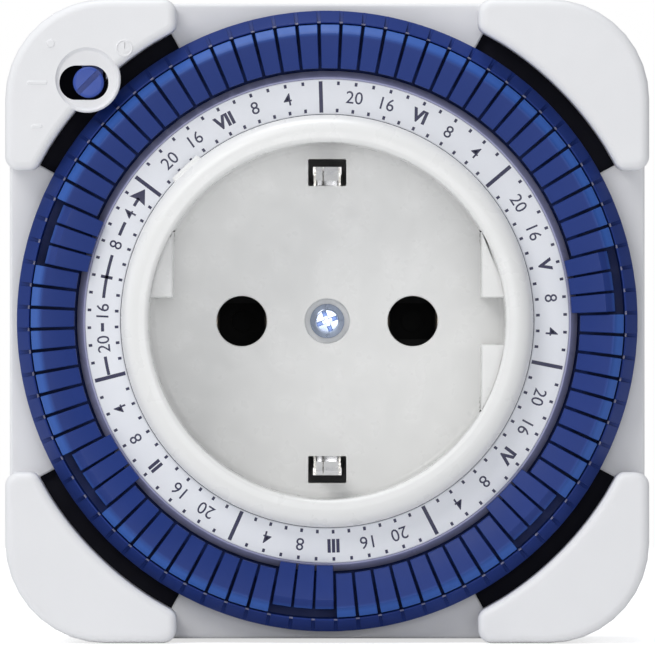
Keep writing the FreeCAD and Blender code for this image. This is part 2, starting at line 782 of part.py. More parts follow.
def switch_lever():
    body = new_body("switch_lever")
    low, high = "lever_bottom", "lever_top"
    half, tail = "arm_half_width", "tail_half_width"
    pad(body, "crank", low, high, (loop, [
        (f"-{half}", "-arm_to_nose"), (half, "-arm_to_nose"), (half, tail), (f"-tail_length + {tail}", tail),
        (f"-tail_length - {tail}", tail), (f"-tail_length - {tail}", f"-{tail}"), (f"-{half}", f"-{tail}")]))
    pad(body, "hub", low, f"{high} + 1.6", (circle, "0", "0", "lever_hub_radius"))
    pocket(body, "pivot_hole", low, f"{high} + 1.6", (circle, "0", "0", "pivot_bore"))
    pad(body, "finger", low, "finger_top", (box, "finger_step", "-arm_to_finger - finger_half",
                                            "finger_half", "-arm_to_finger + finger_half"))
    pad(body, "tab", low, "tail_tab_top", box_at("-tail_length", "0", tail, tail))
    place(body, *pivot_spot(), "station_angle + 90")
    return body


def override_slider():
    body = new_body("override_slider")
    pad(body, "knob", "slider_bottom", "knob_top", (circle, "knob_x", "knob_z", "knob_radius"))
    pad(body, "arm", "slider_bottom", "slider_top",
        (box, "slider_left", "knob_z", "leg_right", "leg_high"))
    pad(body, "leg", "leg_bottom", "slider_top", (box, "leg_left", "leg_low", "leg_right", "leg_high"))
    reach = "knob_radius + 0.3"
    half = "knob_groove_half"
    corner = "0.7071"
    ends = [(f"-({reach}) - {half}", f"-({reach}) + {half}"), (f"-({reach}) + {half}", f"-({reach}) - {half}"),
            (f"{reach} + {half}", f"{reach} - {half}"), (f"{reach} - {half}", f"{reach} + {half}")]
    pocket(body, "driver_groove", "knob_top - knob_groove_depth", "knob_top + 1", (loop, [
        (f"knob_x + {corner} * ({across})", f"knob_z + {corner} * ({up})") for across, up in ends]))
    return body


def dial_carrier():
    body = new_body("dial_carrier")
    carrier = turned(body, "carrier", [
        ("dial_bore", "hub_bottom"),
        ("hub_radius", "hub_bottom"),
        ("hub_radius", "foot_bottom"),
        ("foot_radius", "foot_bottom"),
        ("foot_radius", "floor_bottom"),
        ("rim_outer", "floor_bottom"),
        ("rim_outer", "rim_shoulder"),
        ("rim_inner", "rim_top"),
        ("rim_inner", "channel_floor"),
        ("wall_outer", "channel_floor"),
        ("wall_outer", "wall_slope_bottom"),
        ("wall_inner", "wall_top"),
        ("wall_inner", "shelf_height"),
        ("dial_bore", "shelf_height"),
    ])
    notch_angle = "first_line_angle"
    slot_angle = "first_line_angle + 180 / segments"
    half = "rim_notch_half_width"
    notch = pocket(body, "rim_notch", "rim_notch_bottom", "rim_top + 1", (loop, [
        turn_spot(across, up, notch_angle) for across, up in (
            (f"-{half}", "rim_inner - 0.3"), (half, "rim_inner - 0.3"),
            (half, "rim_outer + 0.5"), (f"-{half}", "rim_outer + 0.5"))]))
    half = "guide_half_width"
    guide = pocket(body, "guide_slot", "floor_bottom", "channel_floor", (loop, [
        turn_spot(across, up, slot_angle) for across, up in (
            (f"-{half}", "guide_inner"), (half, "guide_inner"), (half, "guide_outer"),
            (f"-{half}", "guide_outer"))]))
    ring_of(body, "segment_ring", [notch, guide], "segments")
    return body


def scale_ring():
    body = new_body("scale_ring")
    pad(body, "ring", "shelf_height", "wall_top", (circle, "0", "0", "scale_outer"), (circle, "0", "0", "dial_bore"))
    return body


def tappet(name, number, inset="0"):
    """One tappet in its slot; inset is how far it is pushed in."""
    body = doc.addObject("PartDesign::Body", name)
    body.Label = name
    head = [("tappet_inner", "tappet_underside"), ("tappet_inner", "tappet_inner_top"),
            ("tappet_crease", "tappet_top"), ("tappet_outer", "tappet_outer_top"),
            ("tappet_outer", "tappet_seat"), ("tappet_body_inner", "tappet_seat"),
            ("tappet_body_inner", "tappet_underside")]
    turned(body, "head", [(f"{radius} - {inset}", height) for radius, height in head], "tappet_angle")
    half = "keel_half_width"
    pad(body, "keel", "keel_bottom", "tappet_seat",
        (box, f"-{half}", f"keel_inner - {inset}", half, f"keel_outer - {inset}"))
    angle = f"first_line_angle + 360 / segments * ({number} + 0.5)"
    body.Placement.Rotation = FreeCAD.Rotation(FreeCAD.Vector(0, 1, 0), value(angle))
    return body


def tappets():
    """Seven days of tappets: one group for each day, and a piece for each one pushed in."""
    for day, word in enumerate(DAY_NAMES):
        waiting = []
        for slot in range(SLOTS_PER_DAY):
            number = day * SLOTS_PER_DAY + slot
            if word in WORKING_DAYS and slot in PUSHED_IN:
                pieces.append(tappet(f"tappet_day_{word}_{slot + 1:02d}", number, "tappet_travel"))
            else:
                waiting.append(tappet(f"waiting_{word}_{slot + 1:02d}", number))
        together(f"tappets_day_{word}", waiting)


def gear(name, teeth, module, bottom, top, bore, turn="0"):
    """A spur gear: a disc with a tapered gap cut between every two teeth."""
    body = new_body(name)
    pitch = f"{module} * {teeth} / 2"
    tip, root = f"{pitch} + {module}", f"{pitch} - 1.2 * {module}"
    radii = [tip, bore] if bore else [tip]
    pad(body, "disc", bottom, top, *[(circle, "0", "0", radius) for radius in radii])
    quarter = f"3.1416 * {module} / 4"
    gap = pocket(body, "gap", bottom, top, (loop, [
        (f"-gap_root * {quarter}", root), (f"gap_root * {quarter}", root),
        (f"gap_tip * {quarter}", f"{tip} + 0.1"), (f"-gap_tip * {quarter}", f"{tip} + 0.1")]))
    ring_of(body, "teeth", [gap], teeth)
    return body


def meshed_turn(angle, teeth, other_teeth):
    """How far to turn the other gear so its tooth meets a gap of a gear that has a gap at the top."""
    return angle * (1 + teeth / other_teeth) + 180 - 180 / other_teeth


def gears():
    gear("dial_gear", "dial_teeth", "coarse_module", "dial_gear_bottom", "dial_gear_top", "hub_radius")
    drive = spot("coarse_module * (dial_teeth + pinion_teeth) / 2", "drive_angle")
    motor = spot("motor_distance", "motor_angle")
    pinion = gear("drive_pinion", "pinion_teeth", "coarse_module", "drive_bottom", "drive_top", "stud_bore")
    mesh = meshed_turn(value("drive_angle"), value("dial_teeth"), value("pinion_teeth"))
    place(pinion, *drive, mesh)
    wheel = gear("transfer_wheel", "wheel_teeth", "fine_module", "wheel_bottom", "wheel_top", "stud_bore")
    place(wheel, *drive, "0")
    output = gear("motor_pinion", "motor_teeth", "fine_module", "wheel_bottom - 0.2", "wheel_top + 0.3", None)
    pad(output, "shaft", "motor_top - 1", "wheel_bottom - 0.2", (circle, "0", "0", "shaft_radius"))
    beside, above = (value(there) - value(here) for there, here in zip(motor, drive))
    mesh = meshed_turn(math.degrees(math.atan2(beside, above)), value("wheel_teeth"), value("motor_teeth"))
    place(output, *motor, mesh)
    clutch = new_body("clutch_spring")
    turned(clutch, "dished_washer", [
        ("stud_bore", "drive_bottom - 0.35"), ("stud_bore", "drive_bottom"), ("1.6", "drive_bottom"),
        ("3.2", "wheel_top + 0.35"), ("3.2", "wheel_top"), ("2.9", "wheel_top")])
    place(clutch, *drive)
    stud = new_body("gear_stud")
    turned(stud, "stud", [
        ("0", "motor_plate_top"), ("2", "motor_plate_top"), ("2", "wheel_bottom - 0.1"),
        ("stud_radius", "wheel_bottom - 0.1"), ("stud_radius", "plate_back - 0.05"),
        ("0", "plate_back - 0.05")])
    place(stud, *drive)


def motor():
    motor_at = spot("motor_distance", "motor_angle")
    can = new_body("motor_can")
    wall = "motor_can_wall"
    turned(can, "can", [
        ("0", "rear_wall"), ("motor_radius", "rear_wall"), ("motor_radius", "motor_top"),
        (f"motor_radius - {wall}", "motor_top"), (f"motor_radius - {wall}", f"rear_wall + {wall}"),
        ("0", f"rear_wall + {wall}")])
    place(can, *motor_at)
    coil = new_body("motor_coil")
    turned(coil, "bobbin", [
        ("coil_inner", f"rear_wall + {wall}"), ("coil_outer", f"rear_wall + {wall}"),
        ("coil_outer", "coil_bottom"), ("coil_outer - 0.9", "coil_bottom"), ("coil_outer - 0.9", "coil_top - 1"),
        ("coil_outer", "coil_top - 1"), ("coil_outer", "coil_top"), ("coil_inner", "coil_top")])
    place(coil, *motor_at)
    rotor = new_body("motor_rotor")
    turned(rotor, "rotor", [
        ("0", f"rear_wall + {wall} + 0.1"), ("shaft_radius", f"rear_wall + {wall} + 0.1"),
        ("shaft_radius", "rotor_bottom"), ("rotor_radius", "rotor_bottom"), ("rotor_radius", "rotor_top"),
        ("shaft_radius", "rotor_top"), ("shaft_radius", "motor_top - 1.2"), ("0", "motor_top - 1.2")])
    place(rotor, *motor_at)
    plate = new_body("motor_plate")
    pad(plate, "plate", "motor_top", "motor_plate_top", (circle, "0", "0", "motor_radius"),
        (circle, "0", "0", "shaft_bore"))
    place(plate, *motor_at)


def check_document():
    """Stop if any feature failed or any piece has no sound shape."""
    failed = [item.Name for item in doc.Objects if {"Invalid", "Error"} & set(item.State)]
    if failed:
        raise RuntimeError(f"failed features: {failed}")
    unsound = [piece.Label for piece in pieces if piece.Shape.isNull() or not piece.Shape.isValid()]
    if unsound:
        raise RuntimeError(f"pieces with no sound shape: {unsound}")


front_cover()
rear_housing()
socket_insert()
centre_screw()
rear_screws()
earth_clips()
earth_bush()
earth_pin_bracket()
plug_pin("plug_pin_right", "", INSULATOR_TOP + " + contact_leaf + 0.4")
plug_pin("plug_pin_left", "-", "pin_head_height + strip_thickness + 0.3")
socket_contact("socket_contact_right", "", False)
socket_contact("socket_contact_left", "-", True)
insulator_plate()
live_strip()
moving_contact()
switch_lever()
override_slider()
dial_carrier()
scale_ring()
tappets()
gears()
motor()
doc.recompute()
check_document()
os.makedirs("parts", exist_ok=True)
for piece in pieces:
    piece.Shape.exportStep(f"parts/{piece.Label}.step")
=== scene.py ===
import math
import bmesh
import bpy
import numpy as np
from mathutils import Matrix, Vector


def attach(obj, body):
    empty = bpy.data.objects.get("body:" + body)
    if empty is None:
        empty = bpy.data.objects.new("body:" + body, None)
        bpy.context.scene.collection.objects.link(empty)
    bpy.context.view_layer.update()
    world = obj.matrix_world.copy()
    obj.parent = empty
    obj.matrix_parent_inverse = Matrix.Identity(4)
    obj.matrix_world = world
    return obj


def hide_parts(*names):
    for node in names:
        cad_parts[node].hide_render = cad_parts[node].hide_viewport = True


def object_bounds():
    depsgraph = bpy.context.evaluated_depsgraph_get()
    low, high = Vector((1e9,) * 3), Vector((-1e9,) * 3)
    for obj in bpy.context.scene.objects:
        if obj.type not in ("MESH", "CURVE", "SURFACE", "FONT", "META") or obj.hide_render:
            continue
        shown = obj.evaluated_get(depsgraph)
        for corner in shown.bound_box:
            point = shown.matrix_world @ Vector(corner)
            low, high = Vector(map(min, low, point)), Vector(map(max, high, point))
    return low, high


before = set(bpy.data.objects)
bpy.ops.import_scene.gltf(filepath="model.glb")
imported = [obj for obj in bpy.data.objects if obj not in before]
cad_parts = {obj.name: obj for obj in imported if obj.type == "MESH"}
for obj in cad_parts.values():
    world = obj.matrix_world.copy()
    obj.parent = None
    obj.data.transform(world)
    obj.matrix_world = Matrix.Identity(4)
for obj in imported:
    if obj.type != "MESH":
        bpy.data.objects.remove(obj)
cad_box = [list(corner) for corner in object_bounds()]
MM = 0.001

# Rear housing: the deep white shell with the earthed plug on its back.
# Injection moulded in a hard white plastic, with a fine spark-eroded skin on the
# outside and a smoother plug. Two sunk screws hold it to the front cover.


def node_tree(name):
    """A new material with only a Principled shader and its output."""
    material = bpy.data.materials.new(name)
    material.use_nodes = True
    shader = material.node_tree.nodes["Principled BSDF"]
    return material, material.node_tree, shader


def noise(tree, scale, detail=3.0, stretch=None):
    """Noise on the object's own coordinates, in features per metre, stretched along an axis if asked."""
    coordinates = tree.nodes.new("ShaderNodeTexCoord")
    mapping = tree.nodes.new("ShaderNodeMapping")
    if stretch:
        mapping.inputs["Scale"].default_value = stretch
    texture = tree.nodes.new("ShaderNodeTexNoise")
    texture.inputs["Scale"].default_value = scale
    texture.inputs["Detail"].default_value = detail
    tree.links.new(coordinates.outputs["Object"], mapping.inputs["Vector"])
    tree.links.new(mapping.outputs["Vector"], texture.inputs["Vector"])
    return texture.outputs["Fac"]


def ramp(tree, driver, low, high, start=0.3, end=0.7):
    """Blend from one colour to another as the driver goes from start to end."""
    blend = tree.nodes.new("ShaderNodeValToRGB")
    blend.color_ramp.elements[0].position = start
    blend.color_ramp.elements[1].position = end
    blend.color_ramp.elements[0].color = (*low, 1)
    blend.color_ramp.elements[1].color = (*high, 1)
    tree.links.new(driver, blend.inputs["Fac"])
    return blend.outputs["Color"]


def bump(tree, shader, height, strength, distance):
    """Let a height pattern tilt the shading normal."""
    relief = tree.nodes.new("ShaderNodeBump")
    relief.inputs["Strength"].default_value = strength
    relief.inputs["Distance"].default_value = distance
    tree.links.new(height, relief.inputs["Height"])
    tree.links.new(relief.outputs["Normal"], shader.inputs["Normal"])


def linear(*channels):
    """Screen colour, 0 to 255, as the linear values that shaders use."""
    share = np.array(channels) / 255
    return tuple(np.where(share <= 0.04045, share / 12.92, ((share + 0.055) / 1.055) ** 2.4))


def moulded(name, colour, roughness, grain=9000, relief=0.1, shift=0.06, specular=0.4):
    """Moulded plastic: faint clouding of the pigment, a grained skin and uneven gloss."""
    material, tree, shader = node_tree(name)
    shade = tuple(channel * (1 - shift) for channel in colour)
    tree.links.new(ramp(tree, noise(tree, 60), shade, colour), shader.inputs["Base Color"])
    gloss = ramp(tree, noise(tree, 400), (roughness - 0.06,) * 3, (roughness + 0.06,) * 3)
    tree.links.new(gloss, shader.inputs["Roughness"])
    bump(tree, shader, noise(tree, grain, 2.0), relief, 0.00005)
    shader.inputs["Specular IOR Level"].default_value = specular
    return material


def one_finish(piece, material):
    """Give all of a piece the same finish."""
    piece.data.materials.clear()
    piece.data.materials.append(material)


def dress(node, material):
    """Give a carried-over CAD piece its finish."""
    one_finish(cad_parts[node], material)


white_shell = moulded("grained_white_plastic", linear(238, 238, 240), 0.42, shift=0.025)
dress("rear_housing", white_shell)

# Plug pins and the earth strips of the plug: turned and stamped brass, nickel plated.
# Turning leaves fine rings round the pins, and stamping leaves lines along the strips.


def plated(name, colour, roughness, stretch, lines=2500, wear=0.12):
    """Plated or bare metal with fine lines drawn along one axis and dulled patches."""
    material, tree, shader = node_tree(name)
    shader.inputs["Metallic"].default_value = 1.0
    dull = tuple(channel * (1 - wear) for channel in colour)
    tree.links.new(ramp(tree, noise(tree, 120), dull, colour), shader.inputs["Base Color"])
    drawn = noise(tree, lines, 2.0, stretch)
    gloss = ramp(tree, drawn, (roughness * 0.7,) * 3, (min(1.0, roughness * 1.4),) * 3)
    tree.links.new(gloss, shader.inputs["Roughness"])
    bump(tree, shader, drawn, 0.12, 0.00004)
    return material


ACROSS_Y = (0.08, 1.0, 0.08)
ALONG_Y = (1.0, 0.05, 1.0)


def painted_shade_inside(material, bright, dark_from):
    """Keep a metal bright at one height and paint it black and dull by the other: painted shade
    for the unlit parts deep inside the case, seen through the holes."""
    tree = material.node_tree
    shader = tree.nodes["Principled BSDF"]
    coordinates = tree.nodes.new("ShaderNodeTexCoord")
    parts = tree.nodes.new("ShaderNodeSeparateXYZ")
    fade = tree.nodes.new("ShaderNodeMapRange")
    fade.inputs["From Min"].default_value = -dark_from * MM
    fade.inputs["From Max"].default_value = -bright * MM
    tree.links.new(coordinates.outputs["Object"], parts.inputs["Vector"])
    tree.links.new(parts.outputs["Y"], fade.inputs["Value"])
    for socket, dark in (("Base Color", (0.004, 0.004, 0.005, 1)), ("Roughness", (0.9, 0.9, 0.9, 1))):
        mix = tree.nodes.new("ShaderNodeMixRGB")
        mix.inputs["Color1"].default_value = dark
        tree.links.new(fade.outputs["Result"], mix.inputs["Fac"])
        tree.links.new(shader.inputs[socket].links[0].from_socket, mix.inputs["Color2"])
        tree.links.new(mix.outputs["Color"], shader.inputs[socket])
    tree.links.new(fade.outputs["Result"], shader.inputs["Metallic"])
    return material


nickel_turned = plated("turned_nickel", linear(222, 219, 212), 0.24, ACROSS_Y)
# Painted shade: the pins turn black inside the case, where their heads show through the pin holes.
painted_shade_inside(nickel_turned, -2, 0)
nickel_strip = plated("stamped_nickel", linear(228, 226, 220), 0.28, ALONG_Y)
for node in ("plug_pin_left", "plug_pin_right"):
    dress(node, nickel_turned)
dress("earth_pin_bracket", nickel_strip)

# Switch parts inside: brass and bronze strips, a grey insulator, a cream lever and
# zinc-plated screws. They are punched or moulded and only clipped or riveted in place.
brass = plated("punched_brass", linear(214, 180, 110), 0.3, ALONG_Y)
bronze = plated("spring_bronze", linear(206, 160, 116), 0.26, ALONG_Y)
zinc = plated("bright_zinc", linear(192, 204, 228), 0.2, ACROSS_Y)
for node in ("live_strip", "earth_bush", "motor_pinion"):
    dress(node, brass)
for node in ("moving_contact", "clutch_spring"):
    dress(node, bronze)
# Painted shade: the fork contacts turn black below their tops, deep down in the pin holes.
fork_bronze = painted_shade_inside(plated("fork_bronze", linear(206, 190, 170), 0.3, ALONG_Y), 16.9, 14.5)
for node in ("socket_contact_left", "socket_contact_right"):
    dress(node, fork_bronze)
for node in ("rear_screws", "gear_stud", "motor_can", "motor_plate"):
    dress(node, zinc)
dress("insulator_plate", moulded("dark_insulator", linear(44, 44, 46), 0.7))
dress("switch_lever", moulded("cream_acetal", linear(226, 218, 190), 0.38))

# Motor and gears: a wound bobbin round a ferrite rotor, and acetal wheels that turn
# on a steel stud. The wire is laid in close turns, which show as fine bands.


def wound(name, colour):
    """Enamelled wire: bands round the bobbin, one for each turn."""
    material, tree, shader = node_tree(name)
    coordinates = tree.nodes.new("ShaderNodeTexCoord")
    bands = tree.nodes.new("ShaderNodeTexWave")
    bands.bands_direction = "Y"
    bands.inputs["Scale"].default_value = 1600
    bands.inputs["Distortion"].default_value = 1.5
    tree.links.new(coordinates.outputs["Object"], bands.inputs["Vector"])
    # Painted shade: the dark part of each band stands for the shade in the groove between two turns.
    dark = tuple(channel * 0.35 for channel in colour)
    tree.links.new(ramp(tree, bands.outputs["Fac"], dark, colour, 0.1, 0.6), shader.inputs["Base Color"])
    bump(tree, shader, bands.outputs["Fac"], 0.5, 0.0001)
    shader.inputs["Metallic"].default_value = 0.6
    shader.inputs["Roughness"].default_value = 0.35
    return material


dress("motor_coil", wound("wound_copper", linear(196, 116, 72)))
dress("motor_rotor", moulded("bonded_ferrite", linear(48, 47, 48), 0.6))
gear_plastic = moulded("gear_acetal", linear(232, 228, 212), 0.36)
for node in ("dial_gear", "drive_pinion", "transfer_wheel"):
    dress(node, gear_plastic)

# Front cover: a flat square plate with four raised pads that guard the dial's corners.
# One moulding in the same white as the shell. Every outer edge has a soft radius.
HALF_PLATE = 35.05 * MM
HALF_PAD = 35.4 * MM
PLATE_CORNER = 10.65 * MM
PAD_CORNER = 11.0 * MM
PARTING, PLATE_BACK, PLATE_FRONT, PAD_TOP = 24 * MM, 28 * MM, 30 * MM, 37.5 * MM
WALL = 1.8 * MM
BAY_RADIUS = 36.1 * MM
HUB_HOLE = 23.85 * MM
PAD_EDGE = 16.6 * MM


def rounded_path(corners, radii, steps=8, closed=True):
    """A path with its corners turned into arcs: each arc is tangent to both sides, with its
    centre on the corner's bisector, and is sampled evenly in angle."""
    corners = np.asarray(corners, float)
    radii = np.broadcast_to(radii, len(corners))
    path = []
    for index, (corner, radius) in enumerate(zip(corners, radii)):
        at_end = not closed and index in (0, len(corners) - 1)
        if radius <= 0 or at_end:
            path.append(corner[None])
            continue
        back = corners[index - 1] - corner
        ahead = corners[(index + 1) % len(corners)] - corner
        back, ahead = back / np.linalg.norm(back), ahead / np.linalg.norm(ahead)
        half = 0.5 * math.acos(np.clip(back @ ahead, -1, 1))
        centre = corner + (back + ahead) / np.linalg.norm(back + ahead) * radius / math.sin(half)
        start = corner + back * radius / math.tan(half) - centre
        finish = corner + ahead * radius / math.tan(half) - centre
        first = math.atan2(start[1], start[0])
        sweep = (math.atan2(finish[1], finish[0]) - first + math.pi) % (2 * math.pi) - math.pi
        angles = first + sweep * np.linspace(0, 1, steps)
        path.append(centre + radius * np.column_stack([np.cos(angles), np.sin(angles)]))
    return np.vstack(path)


def grid_quads(rows, columns, close_rows=False, close_columns=False, first=0):
    """Corner numbers of the quads between neighbouring points of a grid."""
    row = np.arange(rows if close_rows else rows - 1)[:, None]
    column = np.arange(columns if close_columns else columns - 1)[None, :]
    below, beside = (row + 1) % rows, (column + 1) % columns
    quads = np.stack([row * columns + column, row * columns + beside,
                      below * columns + beside, below * columns + column], axis=-1)
    return first + quads.reshape(-1, 4)


def build(name, points, faces, body, slot, material, sharp=35, replaces=()):
    """Put points and faces into a piece that rides on a body, with its faces outwards."""
    mesh = bpy.data.meshes.new(name)
    mesh.from_pydata(np.asarray(points).tolist(), [], [list(map(int, face)) for face in faces])
    shell = bmesh.new()
    shell.from_mesh(mesh)
    bmesh.ops.remove_doubles(shell, verts=shell.verts, dist=1e-7)
    bmesh.ops.recalc_face_normals(shell, faces=shell.faces)
    shell.to_mesh(mesh)
    shell.free()
    mesh.shade_smooth()
    mesh.set_sharp_from_angle(angle=math.radians(sharp))
    mesh.materials.append(material)
    piece = bpy.data.objects.new(name, mesh)
    bpy.context.scene.collection.objects.link(piece)
    if body:
        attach(piece, body)
    if replaces:
        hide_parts(*replaces)
    return piece


def tool(points, faces, material=None):
    """A closed shape that is only used to cut or join another."""
    return build("tool", points, faces, None, None, material or white_shell)


def combined(piece, other, operation, finish_mode):
    """Cut or join a piece with a second closed shape, exactly, and drop the second one."""
    step = piece.modifiers.new("combined", "BOOLEAN")
    step.operation = operation
    step.solver = "EXACT"
    step.material_mode = finish_mode
    step.object = other
    bpy.context.view_layer.update()
    evaluated = piece.evaluated_get(bpy.context.evaluated_depsgraph_get())
    result = bpy.data.meshes.new_from_object(evaluated)
    piece.modifiers.clear()
    piece.data = result
    bpy.data.objects.remove(other)


def cut(piece, cutter):
    """Take the cutter's volume out of a piece, with the cutter's finish inside."""
    combined(piece, cutter, "DIFFERENCE", "TRANSFER")


def join(piece, other):
    """Merge another closed shape into a piece."""
    combined(piece, other, "UNION", "INDEX")


def prism(outline, low, high):
    """Points and faces of an upright block: an outline in X and Z between two heights."""
    count = len(outline)
    levels = [np.column_stack([outline[:, 0], np.full(count, -level), outline[:, 1]])
              for level in (low, high)]
    faces = [*grid_quads(2, count, close_columns=True), range(count), range(count, 2 * count)]
    return np.vstack(levels), faces


def round_outline(radius, count=64, centre=(0, 0)):
    """A circle from the top clockwise: radius times the sine and cosine of even angles."""
    angles = np.linspace(0, 2 * np.pi, count, endpoint=False)
    return np.column_stack([centre[0] + radius * np.sin(angles), centre[1] + radius * np.cos(angles)])


def box_outline(centre, half):
    """A rectangle: its centre plus or minus half its width and height."""
    return np.array(centre) + np.array(half) * np.array([(1, 1), (1, -1), (-1, -1), (-1, 1)])


def square_loop(half, radius, count=192):
    """A square with round corners, at even polar angles from the top: the ray's reach is the
    nearer of the flat side and the corner arc."""
    angles = np.linspace(0, 2 * np.pi, count, endpoint=False)
    ray = np.abs(np.column_stack([np.sin(angles), np.cos(angles)]))
    flat = half / ray.max(axis=1)
    centre = half - radius
    along = centre * ray.sum(axis=1)
    arc = along + np.sqrt(np.maximum(along ** 2 - 2 * centre ** 2 + radius ** 2, 0))
    in_corner = (flat[:, None] * ray).min(axis=1) > centre
    reach = np.where(in_corner, arc, flat)
    return reach[:, None] * np.column_stack([np.sin(angles), np.cos(angles)])


def stacked(loops, heights):
    """Outlines of equal count, each at its own height, as one grid of points."""
    return np.vstack([np.column_stack([loop[:, 0], np.full(len(loop), -height), loop[:, 1]])
                      for loop, height in zip(loops, heights)])


def plate_with_hole():
    """The plate: rings that run up the outer wall, in over the front, down the hole and back
    under the plate and along the inner wall, closed on themselves."""
    turn = np.linspace(0, np.pi / 2, 5)
    soft = 0.35 * MM
    inset = soft * (1 - np.cos(turn))
    outer = [square_loop(HALF_PLATE - step, PLATE_CORNER - step) for step in inset]
    heights = list(PLATE_FRONT - soft + soft * np.sin(turn))
    flat = [square_loop(HALF_PLATE - 2 * soft, PLATE_CORNER - 2 * soft), round_outline(HUB_HOLE + soft, 192)]
    inner = square_loop(HALF_PLATE - WALL, PLATE_CORNER - WALL)
    hole = round_outline(HUB_HOLE, 192)
    loops = [square_loop(HALF_PLATE, PLATE_CORNER), *outer, *flat, hole, hole, inner, inner]
    levels = [PARTING, *heights, PLATE_FRONT, PLATE_FRONT, PLATE_FRONT - 0.1 * MM, PLATE_BACK,
              PLATE_BACK, PARTING]
    return stacked(loops, levels), grid_quads(len(loops), 192, close_rows=True, close_columns=True)


def inset_loop(loop, distance):
    """Move a closed outline inwards along its own normals, the bisectors of its sides."""
    ahead = np.roll(loop, -1, axis=0) - loop
    ahead /= np.linalg.norm(ahead, axis=1)[:, None]
    behind = np.roll(ahead, 1, axis=0)
    normals = np.column_stack([-(ahead + behind)[:, 1], (ahead + behind)[:, 0]])
    normals /= np.linalg.norm(normals, axis=1)[:, None]
    area = 0.5 * np.sum(loop[:, 0] * np.roll(loop[:, 1], -1) - np.roll(loop[:, 0], -1) * loop[:, 1])
    return loop + normals * distance * np.sign(area)


def pad_outline(right, top):
    """One corner pad: the bay's arc on the inside, two round ends and the big outer corner."""
    reach = math.sqrt(BAY_RADIUS ** 2 - PAD_EDGE ** 2)
    start, finish = math.atan2(PAD_EDGE, reach), math.atan2(reach, PAD_EDGE)
    angles = np.linspace(start, finish, 31)
    angles = np.delete(angles, [1, 2, 3, 27, 28, 29])
    arc = BAY_RADIUS * np.column_stack([np.sin(angles), np.cos(angles)])
    corners = np.vstack([arc, [(HALF_PAD, PAD_EDGE), (HALF_PAD, HALF_PAD), (PAD_EDGE, HALF_PAD)]])
    radii = np.zeros(len(corners))
    radii[[0, 24]] = 1.3 * MM
    radii[25], radii[26], radii[27] = 1.5 * MM, PAD_CORNER, 1.5 * MM
    outline = rounded_path(corners, radii, 10)
    return outline * np.array([right, top])


def soft_block(outline, low, high, radius, steps=7, lip=0.25 * MM):
    """A block whose upper edge is a quarter round: the outline moves in as it climbs, then a
    narrow flat ring carries the flat top."""
    turn = np.linspace(0, np.pi / 2, steps)
    insets = [0, *(radius * (1 - np.cos(turn))), radius + lip]
    levels = [low, *(high - radius + radius * np.sin(turn)), high]
    points = stacked([inset_loop(outline, inset) for inset in insets], levels)
    count, rows = len(outline), len(levels)
    faces = [*grid_quads(rows, count, close_columns=True), range(count),
             range((rows - 1) * count, rows * count)]
    return points, faces


cover = build("front_cover_plate", *plate_with_hole(), "housing", "housing_white", white_shell,
              replaces=["front_cover"])
# Painted shade: a near-black lining for the channel round the dial bay and the space under the ear, where the
# case is only in shadow.
painted_shade_lining = moulded("painted_shade_lining_plastic", linear(26, 26, 36), 0.8, specular=0.15)
# A shallow channel is cut in the plate at each corner of the dial bay and lined with the painted shade,
# standing for the shadow between the pads' walls and the dial.
CHANNEL_DEPTH = 0.9 * MM
for quarter in range(4):
    swing = np.radians(90 * quarter + np.linspace(28.5, 61.5, 24))
    near, far = 32.5 * MM, BAY_RADIUS + 0.25 * MM
    outer_arc = far * np.column_stack([np.sin(swing), np.cos(swing)])
    inner_arc = near * np.column_stack([np.sin(swing), np.cos(swing)])[::-1]
    channel = prism(np.vstack([outer_arc, inner_arc]), PLATE_FRONT - CHANNEL_DEPTH, PLATE_FRONT + 0.5 * MM)
    cut(cover, tool(*channel, painted_shade_lining))
PADS = {"upper_right": (1, 1), "lower_right": (1, -1), "lower_left": (-1, -1), "upper_left": (-1, 1)}
pads = {}
for where, (right, top) in PADS.items():
    shape = soft_block(pad_outline(right, top), PLATE_FRONT - 0.2 * MM, PAD_TOP, 0.9 * MM)
    pads[where] = build(f"corner_pad_{where}", *shape, "housing", "housing_white", white_shell)

# Override slot: an ear on the upper-left pad hangs over the dial and carries the slot for
# the slider. The round step, the slot and the small raised marks beside it are moulded in,
# and the space behind the slot is lined with painted shade, a near-black lining where the case is only in
# shadow.
EAR = (-26.4 * MM, 26.6 * MM)
EAR_ROOF = PAD_TOP - 1.1 * MM


def tidy_normals(piece, angle):
    """Shade smooth, with edges sharper than an angle kept crisp and flat front faces kept flat."""
    piece.data.shade_smooth()
    piece.data.set_sharp_from_angle(angle=math.radians(angle))
    facing = np.empty(len(piece.data.polygons) * 3)
    piece.data.polygons.foreach_get("normal", facing)
    curved = np.abs(facing[1::3]) < 0.99995
    piece.data.polygons.foreach_set("use_smooth", curved)


ear_pad = pads["upper_left"]
join(ear_pad, tool(*soft_block(round_outline(3.7 * MM, 72, EAR), EAR_ROOF, PAD_TOP, 0.35 * MM, 5)))
